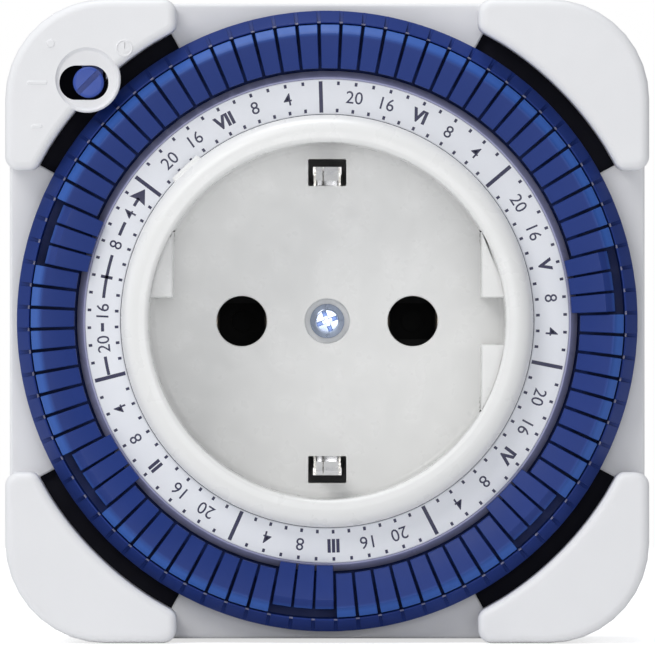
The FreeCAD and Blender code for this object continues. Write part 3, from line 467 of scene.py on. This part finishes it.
# The chamber under the ear is lined with the painted shade.
chamber = box_outline((-27.675 * MM, 27.675 * MM), (3.325 * MM, 3.325 * MM))
cut(ear_pad, tool(*prism(chamber, PLATE_FRONT + 0.1 * MM, EAR_ROOF), painted_shade_lining))
recess = [round_outline(radius * MM, 72, EAR) for radius in (3.1, 3.2, 3.45, 3.6)]
recess_levels = [PAD_TOP + drop * MM for drop in (-0.42, -0.38, -0.08, 0.3)]
recess_faces = [*grid_quads(4, 72, close_columns=True), range(72), range(3 * 72, 4 * 72)]
cut(ear_pad, tool(stacked(recess, recess_levels), recess_faces))
slot_shape = rounded_path(box_outline((-26.75 * MM, 26.2 * MM), (2.7 * MM, 1.9 * MM)), 1.85 * MM, 12)
cut(ear_pad, tool(*prism(slot_shape, EAR_ROOF - 1 * MM, PAD_TOP + 1 * MM)))
tidy_normals(ear_pad, 30)


def raised_mark(name, outline, radius):
    """A low raised mark on the pads with softened edges."""
    shape = soft_block(outline, PAD_TOP - 0.1 * MM, PAD_TOP + 0.09 * MM, radius, 4, 0.06 * MM)
    return build(name, *shape, "housing", "housing_white", white_shell)


def bar(centre, half):
    """A bar with nearly round ends: a rectangle with its corners turned into arcs."""
    return rounded_path(box_outline(centre, half), min(half) * 0.95, 6)


raised_mark("slot_mark_long", bar((-31.9 * MM, 26.2 * MM), (1.1 * MM, 0.2 * MM)), 0.09 * MM)
raised_mark("slot_mark_short", bar((-31.9 * MM, 21.4 * MM), (0.6 * MM, 0.18 * MM)), 0.08 * MM)
raised_mark("slot_mark_dot", round_outline(0.45 * MM, 32, (-30.4 * MM, 30.5 * MM)), 0.09 * MM)


def swept_ring(radius, tube, height, centre, turns=48, around=12):
    """A round wire bent into a circle: torus with its centre line at a radius and height."""
    turn = np.linspace(0, 2 * np.pi, turns, endpoint=False)[:, None]
    roll = np.linspace(0, 2 * np.pi, around, endpoint=False)[None, :]
    reach = radius + tube * np.cos(roll)
    points = np.stack([centre[0] + reach * np.sin(turn), -(height + tube * np.sin(roll)) + 0 * turn,
                       centre[1] + reach * np.cos(turn)], axis=-1)
    return points.reshape(-1, 3), grid_quads(turns, around, True, True)


build("slot_mark_clock", *swept_ring(0.85 * MM, 0.12 * MM, PAD_TOP - 0.03 * MM, (-22.3 * MM, 30.0 * MM)),
      "housing", "housing_white", white_shell)
raised_mark("slot_mark_clock_hand", bar((-22.3 * MM, 30.3 * MM), (0.09 * MM, 0.4 * MM)), 0.05 * MM)

# Override slider: a blue knob with a screwdriver groove, on an arm that runs under the
# ear and down through the cover to the switch. One moulding, it slides in the slot.
knob_blue = moulded("knob_blue_plastic", linear(54, 82, 170), 0.4, 7000, 0.1, 0.12)
KNOB = (-26.25 * MM, 26.25 * MM)


def turned_grid(profile, columns=96, centre=(0, 0)):
    """Turn (radius, height) points about the dial axis: one ring of points for each."""
    rings = [round_outline(max(radius, 1e-6), columns, centre) for radius, _ in profile]
    points = stacked(rings, [height for _, height in profile])
    return points, grid_quads(len(profile), columns, close_columns=True)


def softened(profile, radii, steps=6):
    """Turn profile given in millimetres, with its corners rounded, closed on the axis."""
    return rounded_path(np.array(profile) * MM, np.array(radii) * MM, steps, closed=False)


knob_profile = softened([(0, 34.6), (1.7, 34.6), (1.7, 37.4), (0, 37.4)], [0, 0, 0.3, 0])
knob = build("override_knob", *turned_grid(knob_profile, 64, KNOB), "override", "knob_blue",
             knob_blue, replaces=["override_slider"])
reach, half = 1.95 * MM, 0.3 * MM
diagonal = np.array([(1, 1), (-1, 1)]) * math.sqrt(0.5)
groove = np.array([(-reach, -half), (-reach, half), (reach, half), (reach, -half)]) @ diagonal + KNOB
cut(knob, tool(*prism(groove, 36.8 * MM, 38.4 * MM)))
arm = rounded_path(box_outline((-25.85 * MM, 28.4 * MM), (1.15 * MM, 2.2 * MM)), 0.3 * MM, 4)
join(knob, tool(*prism(arm, 34.4 * MM, 35.3 * MM)))
leg = rounded_path(box_outline((-25.4 * MM, 29.8 * MM), (0.7 * MM, 0.8 * MM)), 0.25 * MM, 4)
join(knob, tool(*prism(leg, 23.5 * MM, 35.2 * MM)))
one_finish(knob, knob_blue)
tidy_normals(knob, 32)

# Socket insert: the smooth white cup that the appliance's plug goes into. It is a
# separate glossy moulding, held by the screw at its centre, and the dial turns round it.
white_insert = moulded("smooth_white_plastic", linear(240, 240, 239), 0.3, 5000, 0.05, 0.015, 0.5)
FLOOR = 21 * MM
insert_profile = softened(
    [(0, 18), (21.6, 18), (21.6, 25), (22.7, 25), (22.7, 38.5), (19.65, 38.5), (19.65, 21), (0, 21)],
    [0, 0.3, 0, 0.3, 1.95, 0.55, 0.7, 0], 12)
insert = build("socket_collar", *turned_grid(insert_profile, 240), "housing", "insert_white",
               white_insert, replaces=["socket_insert"])
for right in (1, -1):
    for top in (1, -1):
        low, high = math.asin(2.58 / 19.9), math.asin(9.95 / 19.9)
        arc = 19.9 * np.column_stack([np.cos(np.linspace(low, high, 12)), np.sin(np.linspace(low, high, 12))])
        block = np.vstack([[(17.0, 2.58)], arc, [(17.0, 9.95)]]) * MM * np.array([right, top])
        join(insert, tool(*soft_block(block, FLOOR - 0.5 * MM, 35.4 * MM, 0.3 * MM, 4, 0.05 * MM)))


def tapered_hole(centre, radius, flare, depth):
    """A round hole cutter with a flared mouth at the well's floor."""
    profile = [(0, FLOOR - depth), (radius, FLOOR - depth), (radius, FLOOR - flare),
               (radius + 0.3 * flare, FLOOR - 0.3 * flare), (radius + flare, FLOOR),
               (radius + 1.5 * flare, FLOOR + flare), (0, FLOOR + flare)]
    return tool(*turned_grid(profile, 72, centre))


PIN_OFFSET = 9.5 * MM
PIN_HOLE = 2.79 * MM
SCREW_HOLE = 2.45 * MM
POINTER_BEARING = -42.8
for side in (-PIN_OFFSET, PIN_OFFSET):
    cut(insert, tapered_hole((side, 0), PIN_HOLE, 0.12 * MM, 4 * MM))
cut(insert, tapered_hole((0, 0), SCREW_HOLE, 0.15 * MM, 1 * MM))
for top in (1, -1):
    opening = rounded_path(box_outline((0, top * 16.5 * MM), (2.12 * MM, 1.5 * MM)), 0.15 * MM, 4)
    cut(insert, tool(*prism(opening, FLOOR - 4 * MM, FLOOR + 1 * MM)))
bearing = math.radians(POINTER_BEARING)
across = np.array([math.cos(bearing), -math.sin(bearing)])
outwards = np.array([math.sin(bearing), math.cos(bearing)])
tab = np.array([(-2.2, 21.7), (-1.85, 23.15), (1.85, 23.15), (2.2, 21.7)]) * MM
tab = rounded_path(tab[:, :1] * across + tab[:, 1:] * outwards, [0, 0.3 * MM, 0.3 * MM, 0], 5)
join(insert, tool(*soft_block(tab, 35.3 * MM, 36.9 * MM, 0.25 * MM, 5, 0.05 * MM)))
one_finish(insert, white_insert)
tidy_normals(insert, 32)

# Earth clips: two strips of springy plated brass that stand up through the floor of the
# well, each bulged inwards to press on the plug's edge. Stamped, bent and slit.
clip_metal = plated("clip_nickel", linear(236, 236, 238), 0.2, ALONG_Y)


def smooth_line(knots, count):
    """A line through knots: cubic Hermite pieces whose slopes are the neighbours' chords."""
    knots = np.asarray(knots, float)
    slopes = np.gradient(knots, axis=0)
    place = np.linspace(0, len(knots) - 1 - 1e-9, count)
    start = place.astype(int)
    part = (place - start)[:, None]
    here, there = knots[start], knots[start + 1]
    return ((2 * part ** 3 - 3 * part ** 2 + 1) * here + (part ** 3 - 2 * part ** 2 + part) * slopes[start]
            + (3 * part ** 2 - 2 * part ** 3) * there + (part ** 3 - part ** 2) * slopes[start + 1])


def bent_strip(line, left, right, thickness, edge):
    """A flat strip along a line of (height, up) points: at each point a rounded rectangle
    stands across it, its thickness along the line's normal."""
    ahead = np.gradient(line, axis=0)
    ahead /= np.linalg.norm(ahead, axis=1)[:, None]
    normal = np.column_stack([-ahead[:, 1], ahead[:, 0]])
    middle, half = (left + right) / 2, (right - left) / 2
    section = rounded_path(box_outline((middle, 0), (half, thickness / 2)), edge, 4)
    rows = line[:, None, :] + normal[:, None, :] * section[None, :, 1:]
    points = np.stack([np.broadcast_to(section[:, 0], rows.shape[:2]), -rows[..., 0], rows[..., 1]], axis=-1)
    count, around = len(line), len(section)
    faces = [*grid_quads(count, around, close_columns=True), range(around),
             range((count - 1) * around, count * around)]
    return points.reshape(-1, 3), faces


clip_knots = np.array([(17.6, 0.6), (17.6, 9), (17.6, 15.6), (18.6, 16.8), (24, 16.8), (27, 16.75),
                       (29, 16.2), (30.5, 15.75), (32, 16.15), (33.55, 16.75)]) * MM
clips = None
for top in (1, -1):
    knots = clip_knots * np.array([1, top])
    for left, right in ((-1.25, -0.5), (-0.4, 1.25)):
        strip = bent_strip(smooth_line(knots, 60), left * MM, right * MM, 0.5 * MM, 0.12 * MM)
        if clips is None:
            clips = build("earth_clip_pair", *strip, "housing", "nickel_strip", clip_metal,
                          replaces=["earth_clips"])
        else:
            join(clips, tool(*strip))
one_finish(clips, clip_metal)
tidy_normals(clips, 40)

# Centre screw: a zinc-plated cross-head screw in the middle of the well. Cold headed,
# with a domed head and a tapered cross recess.
screw_profile = softened([(0, 2), (1.45, 2), (1.45, 20), (1.9, 20), (1.9, 20.9), (1.3, 21.3), (0, 21.34)],
                         [0, 0.2, 0, 0.05, 0.25, 0.5, 0], 5)
screw = build("centre_screw_head", *turned_grid(screw_profile, 72), "housing", "zinc_steel", zinc,
              replaces=["centre_screw"])


def cross_arm(turn):
    """One arm pair of a cross recess, narrower at its bottom than at its mouth."""
    swing = np.array([(math.cos(turn), math.sin(turn)), (-math.sin(turn), math.cos(turn))])
    sizes = [(0.55, 0.16), (0.95, 0.22), (1.35, 0.28)]
    outlines = [box_outline((0, 0), (long * MM, short * MM)) @ swing for long, short in sizes]
    points = stacked(outlines, [20.3 * MM, 20.8 * MM, 21.6 * MM])
    return tool(points, [*grid_quads(3, 4, close_columns=True), range(4), range(8, 12)])


for turn in (math.radians(20), math.radians(110)):
    cut(screw, cross_arm(turn))
one_finish(screw, zinc)
tidy_normals(screw, 32)

# Dial carrier: the blue ring that turns round the collar. It has a shelf for the scale,
# a deep channel with a guide slot for each tappet and a rim notched at every division.
dial_blue = moulded("dial_blue_plastic", linear(30, 54, 126), 0.45, 8000, 0.08, 0.14, 0.2)
# Painted reflection and highlight: a pale lavender for the sloped wall beside the scale, where the blue
# catches the light from above, and for the notch floors in the rim, which stand for the glints between the
# tappets.
painted_sheen = moulded("painted_reflection_plastic", linear(158, 160, 196), 0.3, 8000, 0.05, 0.1)
SEGMENTS = 84
FIRST_LINE = -1.6
PITCH = 360 / SEGMENTS
RIM_INNER = 32.75 * MM
SLIT_FLOOR = 34.7 * MM
SLOT_FLOOR = 31.3 * MM


def on_dial(radius, degrees):
    """Across and up for points at a radius and an angle clockwise from the top."""
    angle = np.radians(degrees)
    return radius * np.sin(angle), radius * np.cos(angle)


def notched_ring():
    """The carrier's profile at eight angles in each division: at the division lines the rim
    drops to its notch, and in the middle of each division the channel opens as a slot."""
    profile = softened(
        [(22.75, 25.7), (22.75, 33.7), (26.66, 33.7), (26.66, 34.9), (26.85, 34.9), (27.55, 33.9),
         (27.55, 32.4), (28.5, 32.4), (28.55, 32.4), (31.1, 32.4), (31.15, 32.4), (32.75, 32.4),
         (32.75, 35.7), (32.95, 35.7), (34.2, 33.6), (34.2, 31.2), (25.0, 31.2), (25.0, 30.1), (23.6, 30.1),
         (23.6, 25.7)],
        [0, 0, 0, 0, 0.08, 0.15, 0.1, 0, 0, 0, 0, 0.1, 0.1, 0.12, 0.3, 0.2, 0, 0, 0, 0], 5)
    radius, height = profile.T
    notched = np.where((radius > 32.5 * MM) & (height > SLIT_FLOOR), SLIT_FLOOR, height)
    slotted = np.where((radius > 28.52 * MM) & (radius < 31.12 * MM) & (height > 32.3 * MM),
                       SLOT_FLOOR, height)
    notch, guide = math.degrees(0.2 / 33.4), math.degrees(0.6 / 29.8)
    offsets = [-notch, notch, notch + 0.03, PITCH / 2 - guide - 0.03, PITCH / 2 - guide,
               PITCH / 2 + guide, PITCH / 2 + guide + 0.03, PITCH - notch - 0.03]
    kinds = [notched, notched, height, height, slotted, slotted, height, height]
    starts = FIRST_LINE + PITCH * np.arange(SEGMENTS)[:, None]
    angles = (starts + np.array(offsets)[None, :]).ravel()
    heights = np.tile(np.array(kinds), (SEGMENTS, 1))
    across, up = on_dial(radius[None, :], angles[:, None])
    points = np.stack([across, -heights, up], axis=-1).reshape(-1, 3)
    return points, grid_quads(len(angles), len(radius), close_rows=True, close_columns=True)


carrier = build("segment_carrier", *notched_ring(), "dial", "dial_blue", dial_blue, sharp=28,
                replaces=["dial_carrier"])
carrier.data.materials.append(painted_sheen)
# Faces on the sloped wall beside the scale and on the rim's notch floors take the painted reflection.
middles = np.empty(len(carrier.data.polygons) * 3)
carrier.data.polygons.foreach_get("center", middles)
middles = middles.reshape(-1, 3)
from_axis = np.hypot(middles[:, 0], middles[:, 2])
painted_sheen_faces = (from_axis > 26.5 * MM) & (from_axis < 27.6 * MM) & (middles[:, 1] < -33.8 * MM)
painted_sheen_faces |= (from_axis > RIM_INNER + 0.05 * MM) & (abs(middles[:, 1] + SLIT_FLOOR) < 0.01 * MM)
carrier.data.polygons.foreach_set("material_index", painted_sheen_faces.astype(int))

# Scale: a flat white ring let into the carrier, printed in navy with day numerals, hours
# and dots. Moulded apart and pad printed, so the ink is thin and slightly glossy.
scale_white = moulded("scale_white_plastic", linear(239, 241, 247), 0.45, 4000, 0.04, 0.03)
ink = moulded("navy_ink", linear(38, 38, 78), 0.35, 12000, 0.06, 0.25)
SCALE_TOP = 34.9 * MM
ring_profile = rounded_path(np.array([(22.78, 33.72), (22.78, 34.9), (26.64, 34.9), (26.64, 33.72)]) * MM,
                            np.array([0, 0.12, 0.12, 0]) * MM, 5)
ring_points, _ = turned_grid(ring_profile, 240)
build("scale_face", ring_points, grid_quads(len(ring_profile), 240, True, True), "dial", "scale_white",
      scale_white, replaces=["scale_ring"])


def ink_patches(patches):
    """Flat four-sided patches of ink with a visible edge, from (radius, angle) corners, lifted
    a hundredth of a millimetre off the ring."""
    corners = np.asarray(patches, float)
    across, up = on_dial(corners[..., 0] * MM, corners[..., 1])
    low = np.stack([across, np.full_like(across, -(SCALE_TOP - 0.02 * MM)), up], axis=-1)
    high = low - np.array([0, 0.035 * MM, 0])
    points = np.concatenate([low, high], axis=1).reshape(-1, 3)
    pattern = np.array([(0, 1, 2, 3), (4, 5, 6, 7), (0, 1, 5, 4), (1, 2, 6, 5), (2, 3, 7, 6), (3, 0, 4, 7)])
    faces = (np.arange(len(corners))[:, None, None] * 8 + pattern[None]).reshape(-1, 4)
    return points, faces


def patch(inner, outer, angle, width):
    """Corners of a short bar along a radius, with an even width in millimetres."""
    near, far = np.degrees(width / 2 / inner), np.degrees(width / 2 / outer)
    return [(inner, angle - near), (outer, angle - far), (outer, angle + far), (inner, angle + near)]


DAY = 360 / 7
patches = [patch(22.95, 26.4, FIRST_LINE + DAY * day, 0.42) for day in range(7)]
for day in range(7):
    for hour in range(1, 12):
        angle = FIRST_LINE + DAY * day + DAY / 12 * hour
        patches.append(patch(26.0, 26.4, angle, 0.3))
        patches.append(patch(23.0, 23.4, angle, 0.3))
build("scale_dots", *ink_patches(patches), "dial", "scale_white", ink)


def lettering(name, text, radius, angle, size, weight=0.0):
    """Text as a mesh, then laid on the ring with its top outwards: its middle goes to a
    radius and an angle, and its own plane becomes the ring's."""
    curve = bpy.data.curves.new(name, "FONT")
    curve.body = text
    curve.size = size * MM
    curve.offset = weight * MM
    curve.extrude = 0.012 * MM
    curve.resolution_u = 3
    curve.align_x = "CENTER"
    curve.align_y = "CENTER"
    holder = bpy.data.objects.new(name, curve)
    mesh = bpy.data.meshes.new_from_object(holder)
    bpy.data.objects.remove(holder)
    points = np.empty(len(mesh.vertices) * 3)
    mesh.vertices.foreach_get("co", points)
    points = points.reshape(-1, 3)
    points[:, :2] -= (points[:, :2].max(axis=0) + points[:, :2].min(axis=0)) / 2
    turn = math.radians(angle)
    right = np.array([math.cos(turn), 0, -math.sin(turn)])
    up = np.array([math.sin(turn), 0, math.cos(turn)])
    front = np.array([0, -1, 0])
    placed = points[:, :1] * right + (points[:, 1:2] + radius * MM) * up + (points[:, 2:] + SCALE_TOP) * front
    mesh.vertices.foreach_set("co", placed.ravel())
    mesh.update()
    mesh.materials.clear()
    mesh.materials.append(ink)
    piece = bpy.data.objects.new(name, mesh)
    bpy.context.scene.collection.objects.link(piece)
    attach(piece, "dial")


NUMERALS = ("VI", "V", "IV", "III", "II", "I", "VII")
for day, numeral in enumerate(NUMERALS):
    start = FIRST_LINE + DAY * day
    for step, label in ((2, "20"), (4, "16"), (6, numeral), (8, "8"), (10, "4")):
        if label == "I":
            continue
        bold = label == numeral
        lettering(f"scale_{numeral}_{step}", label, 24.75, start + DAY / 12 * step,
                  1.95, 0.085 if bold else 0.004)

# Direction mark: on the one day that is set at the pointer, bold dashes join the hours
# and end in an arrow that shows which way the dial turns. Printed with the scale.
first_day = FIRST_LINE + DAY * 5


def along(first, last, radius, width):
    """A bar that follows the ring, as one patch for every degree or so."""
    edges = np.linspace(first_day + first, first_day + last, max(2, int(abs(last - first)) + 1))
    inner, outer = radius - width / 2, radius + width / 2
    return [[(inner, a), (outer, a), (outer, b), (inner, b)] for a, b in zip(edges[:-1], edges[1:])]


STEP = DAY / 12
dashes = [*along(0.6, 1.25 * STEP, 24.75, 0.34), *along(2.75 * STEP, 3.25 * STEP, 24.75, 0.34),
          *along(4.75 * STEP, 7.35 * STEP, 24.75, 0.34), *along(8.6 * STEP, 9.45 * STEP, 24.75, 0.34),
          *along(10.55 * STEP, 11.1 * STEP, 24.75, 0.34),
          patch(24.1, 25.4, first_day + 6 * STEP, 0.34)]
build("scale_direction_bar", *ink_patches(dashes), "dial", "scale_white", ink)
tip, tail = first_day + 11.75 * STEP, first_day + 10.9 * STEP
arrow = [[(24.75, tip), (24.75, tip), (25.75, tail), (24.75, tail + 0.45)],
         [(24.75, tip), (24.75, tail + 0.45), (23.75, tail), (24.75, tip)]]
build("scale_direction_arrow", *ink_patches(arrow), "dial", "scale_white", ink)

# Tappets: 84 small blue slides, one for every two hours. Each is moulded with a sloped
# head for the fingertip and a keel that runs in its guide slot, and snaps in from above.
# Fifteen are pushed in towards the scale, which stands for the hours switched on.
tappet_blue = moulded("tappet_blue_plastic", linear(30, 56, 130), 0.42, 9000, 0.1, 0.14, 0.3)


def painted_highlight_outwards(material, colour, inner, outer):
    """Blend a material's colour to a second one between two distances from the dial's axis."""
    tree = material.node_tree
    shader = tree.nodes["Principled BSDF"]
    coordinates = tree.nodes.new("ShaderNodeTexCoord")
    flat = tree.nodes.new("ShaderNodeVectorMath")
    flat.operation = "MULTIPLY"
    flat.inputs[1].default_value = (1, 0, 1)
    length = tree.nodes.new("ShaderNodeVectorMath")
    length.operation = "LENGTH"
    share = tree.nodes.new("ShaderNodeMapRange")
    share.inputs["From Min"].default_value = inner * MM
    share.inputs["From Max"].default_value = outer * MM
    mix = tree.nodes.new("ShaderNodeMixRGB")
    mix.inputs["Color2"].default_value = (*colour, 1)
    tree.links.new(coordinates.outputs["Object"], flat.inputs[0])
    tree.links.new(flat.outputs["Vector"], length.inputs[0])
    tree.links.new(length.outputs["Value"], share.inputs["Value"])
    tree.links.new(share.outputs["Result"], mix.inputs["Fac"])
    tree.links.new(shader.inputs["Base Color"].links[0].from_socket, mix.inputs["Color1"])
    tree.links.new(mix.outputs["Color"], shader.inputs["Base Color"])


# Painted highlight: the tappets' heads turn a lighter blue from the crease outwards, where their outer slope
# catches the light from above.
painted_highlight_outwards(tappet_blue, linear(50, 92, 172), 31.3, 32.0)
HEAD = [(27.8, 35.0), (27.8, 36.0), (31.6, 37.0), (32.62, 36.1), (32.62, 32.5), (29.0, 32.5), (29.0, 35.0)]
HEAD_RADII = [0.08, 0.22, 0.2, 0.25, 0.05, 0.05, 0.2]
DAYS = ("six", "five", "four", "three", "two", "one", "seven")
REST_DAYS = ("six", "seven")
PUSHED_SLOTS = (6, 7, 8)
TRAVEL = 0.93 * MM


def tappet(number, pushed):
    """One tappet: its side profile at five stations across its width. The two outer stations
    are drawn in a little, which rounds the edges, and the keel hangs below the middle."""
    profile = rounded_path(np.array(HEAD) * MM, np.array(HEAD_RADII) * MM, 4)
    middle = FIRST_LINE + PITCH * (number + 0.5)
    stations = [(-1.85, 0.16), (-1.81, 0.05), (-1.72, 0.0), (1.72, 0.0), (1.81, 0.05), (1.85, 0.16)]
    shift = -TRAVEL * pushed
    rows = []
    for offset, inset in stations:
        section = inset_loop(profile, inset * MM)
        sideways = np.tan(math.radians(offset)) * section[:, 0]
        rows.append(np.column_stack([sideways, section[:, 0] + shift, section[:, 1]]))
    grid = np.vstack(rows)
    count = len(profile)
    faces = [*grid_quads(len(rows), count, close_columns=True), range(count),
             range((len(rows) - 1) * count, len(rows) * count)]
    keel = rounded_path(box_outline((0, 30.3 * MM + shift), (0.53 * MM, 0.68 * MM)), 0.1 * MM, 3)
    low, high = np.full(len(keel), 31.45 * MM), np.full(len(keel), 32.6 * MM)
    keel_points = np.vstack([np.column_stack([keel, low]), np.column_stack([keel, high])])
    keel_faces = [*grid_quads(2, len(keel), close_columns=True), range(len(keel)),
                  range(len(keel), 2 * len(keel))]
    faces += [[corner + len(grid) for corner in face] for face in keel_faces]
    local = np.vstack([grid, keel_points])
    turn = math.radians(middle)
    across = local[:, 0] * math.cos(turn) + local[:, 1] * math.sin(turn)
    up = local[:, 1] * math.cos(turn) - local[:, 0] * math.sin(turn)
    return np.column_stack([across, -local[:, 2], up]), faces


for day, name in enumerate(DAYS):
    waiting_points, waiting_faces, used = [], [], 0
    for slot in range(12):
        on = name not in REST_DAYS and slot in PUSHED_SLOTS
        points, faces = tappet(12 * day + slot, on)
        if on:
            node = f"tappet_day_{name}_{slot + 1:02d}"
            build(f"tappet_on_{name}_{slot + 1:02d}", points, faces, node, "tappet_blue", tappet_blue,
                  sharp=40, replaces=[node])
        else:
            waiting_points.append(points)
            waiting_faces += [[corner + used for corner in face] for face in faces]
            used += len(points)
    build(f"tappet_row_{name}", np.vstack(waiting_points), waiting_faces, "dial", "tappet_blue",
          tappet_blue, sharp=40, replaces=[f"tappets_day_{name}"])

# Studio: the timer stands on its lower edge on a pale table, before a white wall. A large
# soft light is at the upper left, with weaker ones above, to the left and in front.
table_height = cad_box[0][2] - 0.1 * MM


def studio_floor():
    """A flat table as a grid of points at one level."""
    side = np.linspace(-0.6, 0.6, 13)
    across, deep = np.meshgrid(side, side)
    points = np.column_stack([across.ravel(), deep.ravel(), np.full(across.size, table_height)])
    mesh = bpy.data.meshes.new("table")
    mesh.from_pydata(points.tolist(), [], grid_quads(13, 13).tolist())
    return mesh


paper, paper_tree, paper_shader = node_tree("white_table")
paper_tree.links.new(ramp(paper_tree, noise(paper_tree, 3), (0.86, 0.86, 0.86), (0.9, 0.9, 0.9)),
                     paper_shader.inputs["Base Color"])
paper_shader.inputs["Roughness"].default_value = 0.9
glow = paper_tree.nodes.new("ShaderNodeEmission")
glow.inputs["Strength"].default_value = 0.7
rays = paper_tree.nodes.new("ShaderNodeLightPath")
seen = paper_tree.nodes.new("ShaderNodeMixShader")
both = paper_tree.nodes.new("ShaderNodeAddShader")
finish = paper_tree.nodes["Material Output"]
paper_tree.links.new(paper_shader.outputs["BSDF"], both.inputs[0])
paper_tree.links.new(glow.outputs["Emission"], both.inputs[1])
paper_tree.links.new(rays.outputs["Is Camera Ray"], seen.inputs["Fac"])
paper_tree.links.new(paper_shader.outputs["BSDF"], seen.inputs[1])
paper_tree.links.new(both.outputs["Shader"], seen.inputs[2])
paper_tree.links.new(seen.outputs["Shader"], finish.inputs["Surface"])
table_mesh = studio_floor()
table_mesh.materials.append(paper)
table = bpy.data.objects.new("table", table_mesh)
bpy.context.scene.collection.objects.link(table)

room = bpy.data.worlds.new("room")
bpy.context.scene.world = room
room.use_nodes = True
room_light = room.node_tree.nodes["Background"]
room_light.inputs["Color"].default_value = (0.93, 0.96, 1.0, 1)
room_light.inputs["Strength"].default_value = 0.3
paper_wall = room.node_tree.nodes.new("ShaderNodeBackground")
paper_wall.inputs["Color"].default_value = (1, 1, 1, 1)
looked_at = room.node_tree.nodes.new("ShaderNodeLightPath")
backdrop = room.node_tree.nodes.new("ShaderNodeMixShader")
room.node_tree.links.new(looked_at.outputs["Is Camera Ray"], backdrop.inputs["Fac"])
room.node_tree.links.new(room_light.outputs["Background"], backdrop.inputs[1])
room.node_tree.links.new(paper_wall.outputs["Background"], backdrop.inputs[2])
room.node_tree.links.new(backdrop.outputs["Shader"], room.node_tree.nodes["World Output"].inputs["Surface"])


def soft_light(name, place, size, watts, colour=(1, 1, 1)):
    """A square area light that looks at the object."""
    light = bpy.data.lights.new(name, "AREA")
    light.size = size
    light.energy = watts
    light.color = colour
    lamp = bpy.data.objects.new(name, light)
    lamp.location = place
    lamp.rotation_euler = (-lamp.location).to_track_quat("-Z", "Y").to_euler()
    bpy.context.scene.collection.objects.link(lamp)


soft_light("key", (-0.5, -0.85, 0.7), 0.5, 3.6, (1.0, 0.99, 0.97))
soft_light("top", (-0.1, -0.12, 0.75), 0.4, 2.9, (0.97, 0.98, 1.0))
soft_light("left", (-0.75, -0.15, 0.05), 0.4, 0.8, (0.94, 0.97, 1.0))
soft_light("front", (0.05, -1.2, -0.02), 0.5, 3.0)

CAMERA_DISTANCE = 1.5
SENSOR = 36
PICTURE_WIDTH = 655
PIXELS_PER_METRE = 9100
camera_data = bpy.data.cameras.new("camera")
camera_data.sensor_width = SENSOR
camera_data.lens = SENSOR * CAMERA_DISTANCE / (PICTURE_WIDTH / PIXELS_PER_METRE)
camera = bpy.data.objects.new("camera", camera_data)
camera.location = (0.03 * MM, -(CAMERA_DISTANCE + PAD_TOP), -0.16 * MM)
camera.rotation_euler = (math.radians(90), 0, 0)
bpy.context.scene.collection.objects.link(camera)
bpy.context.scene.camera = camera
bpy.context.scene.view_settings.view_transform = "Standard"
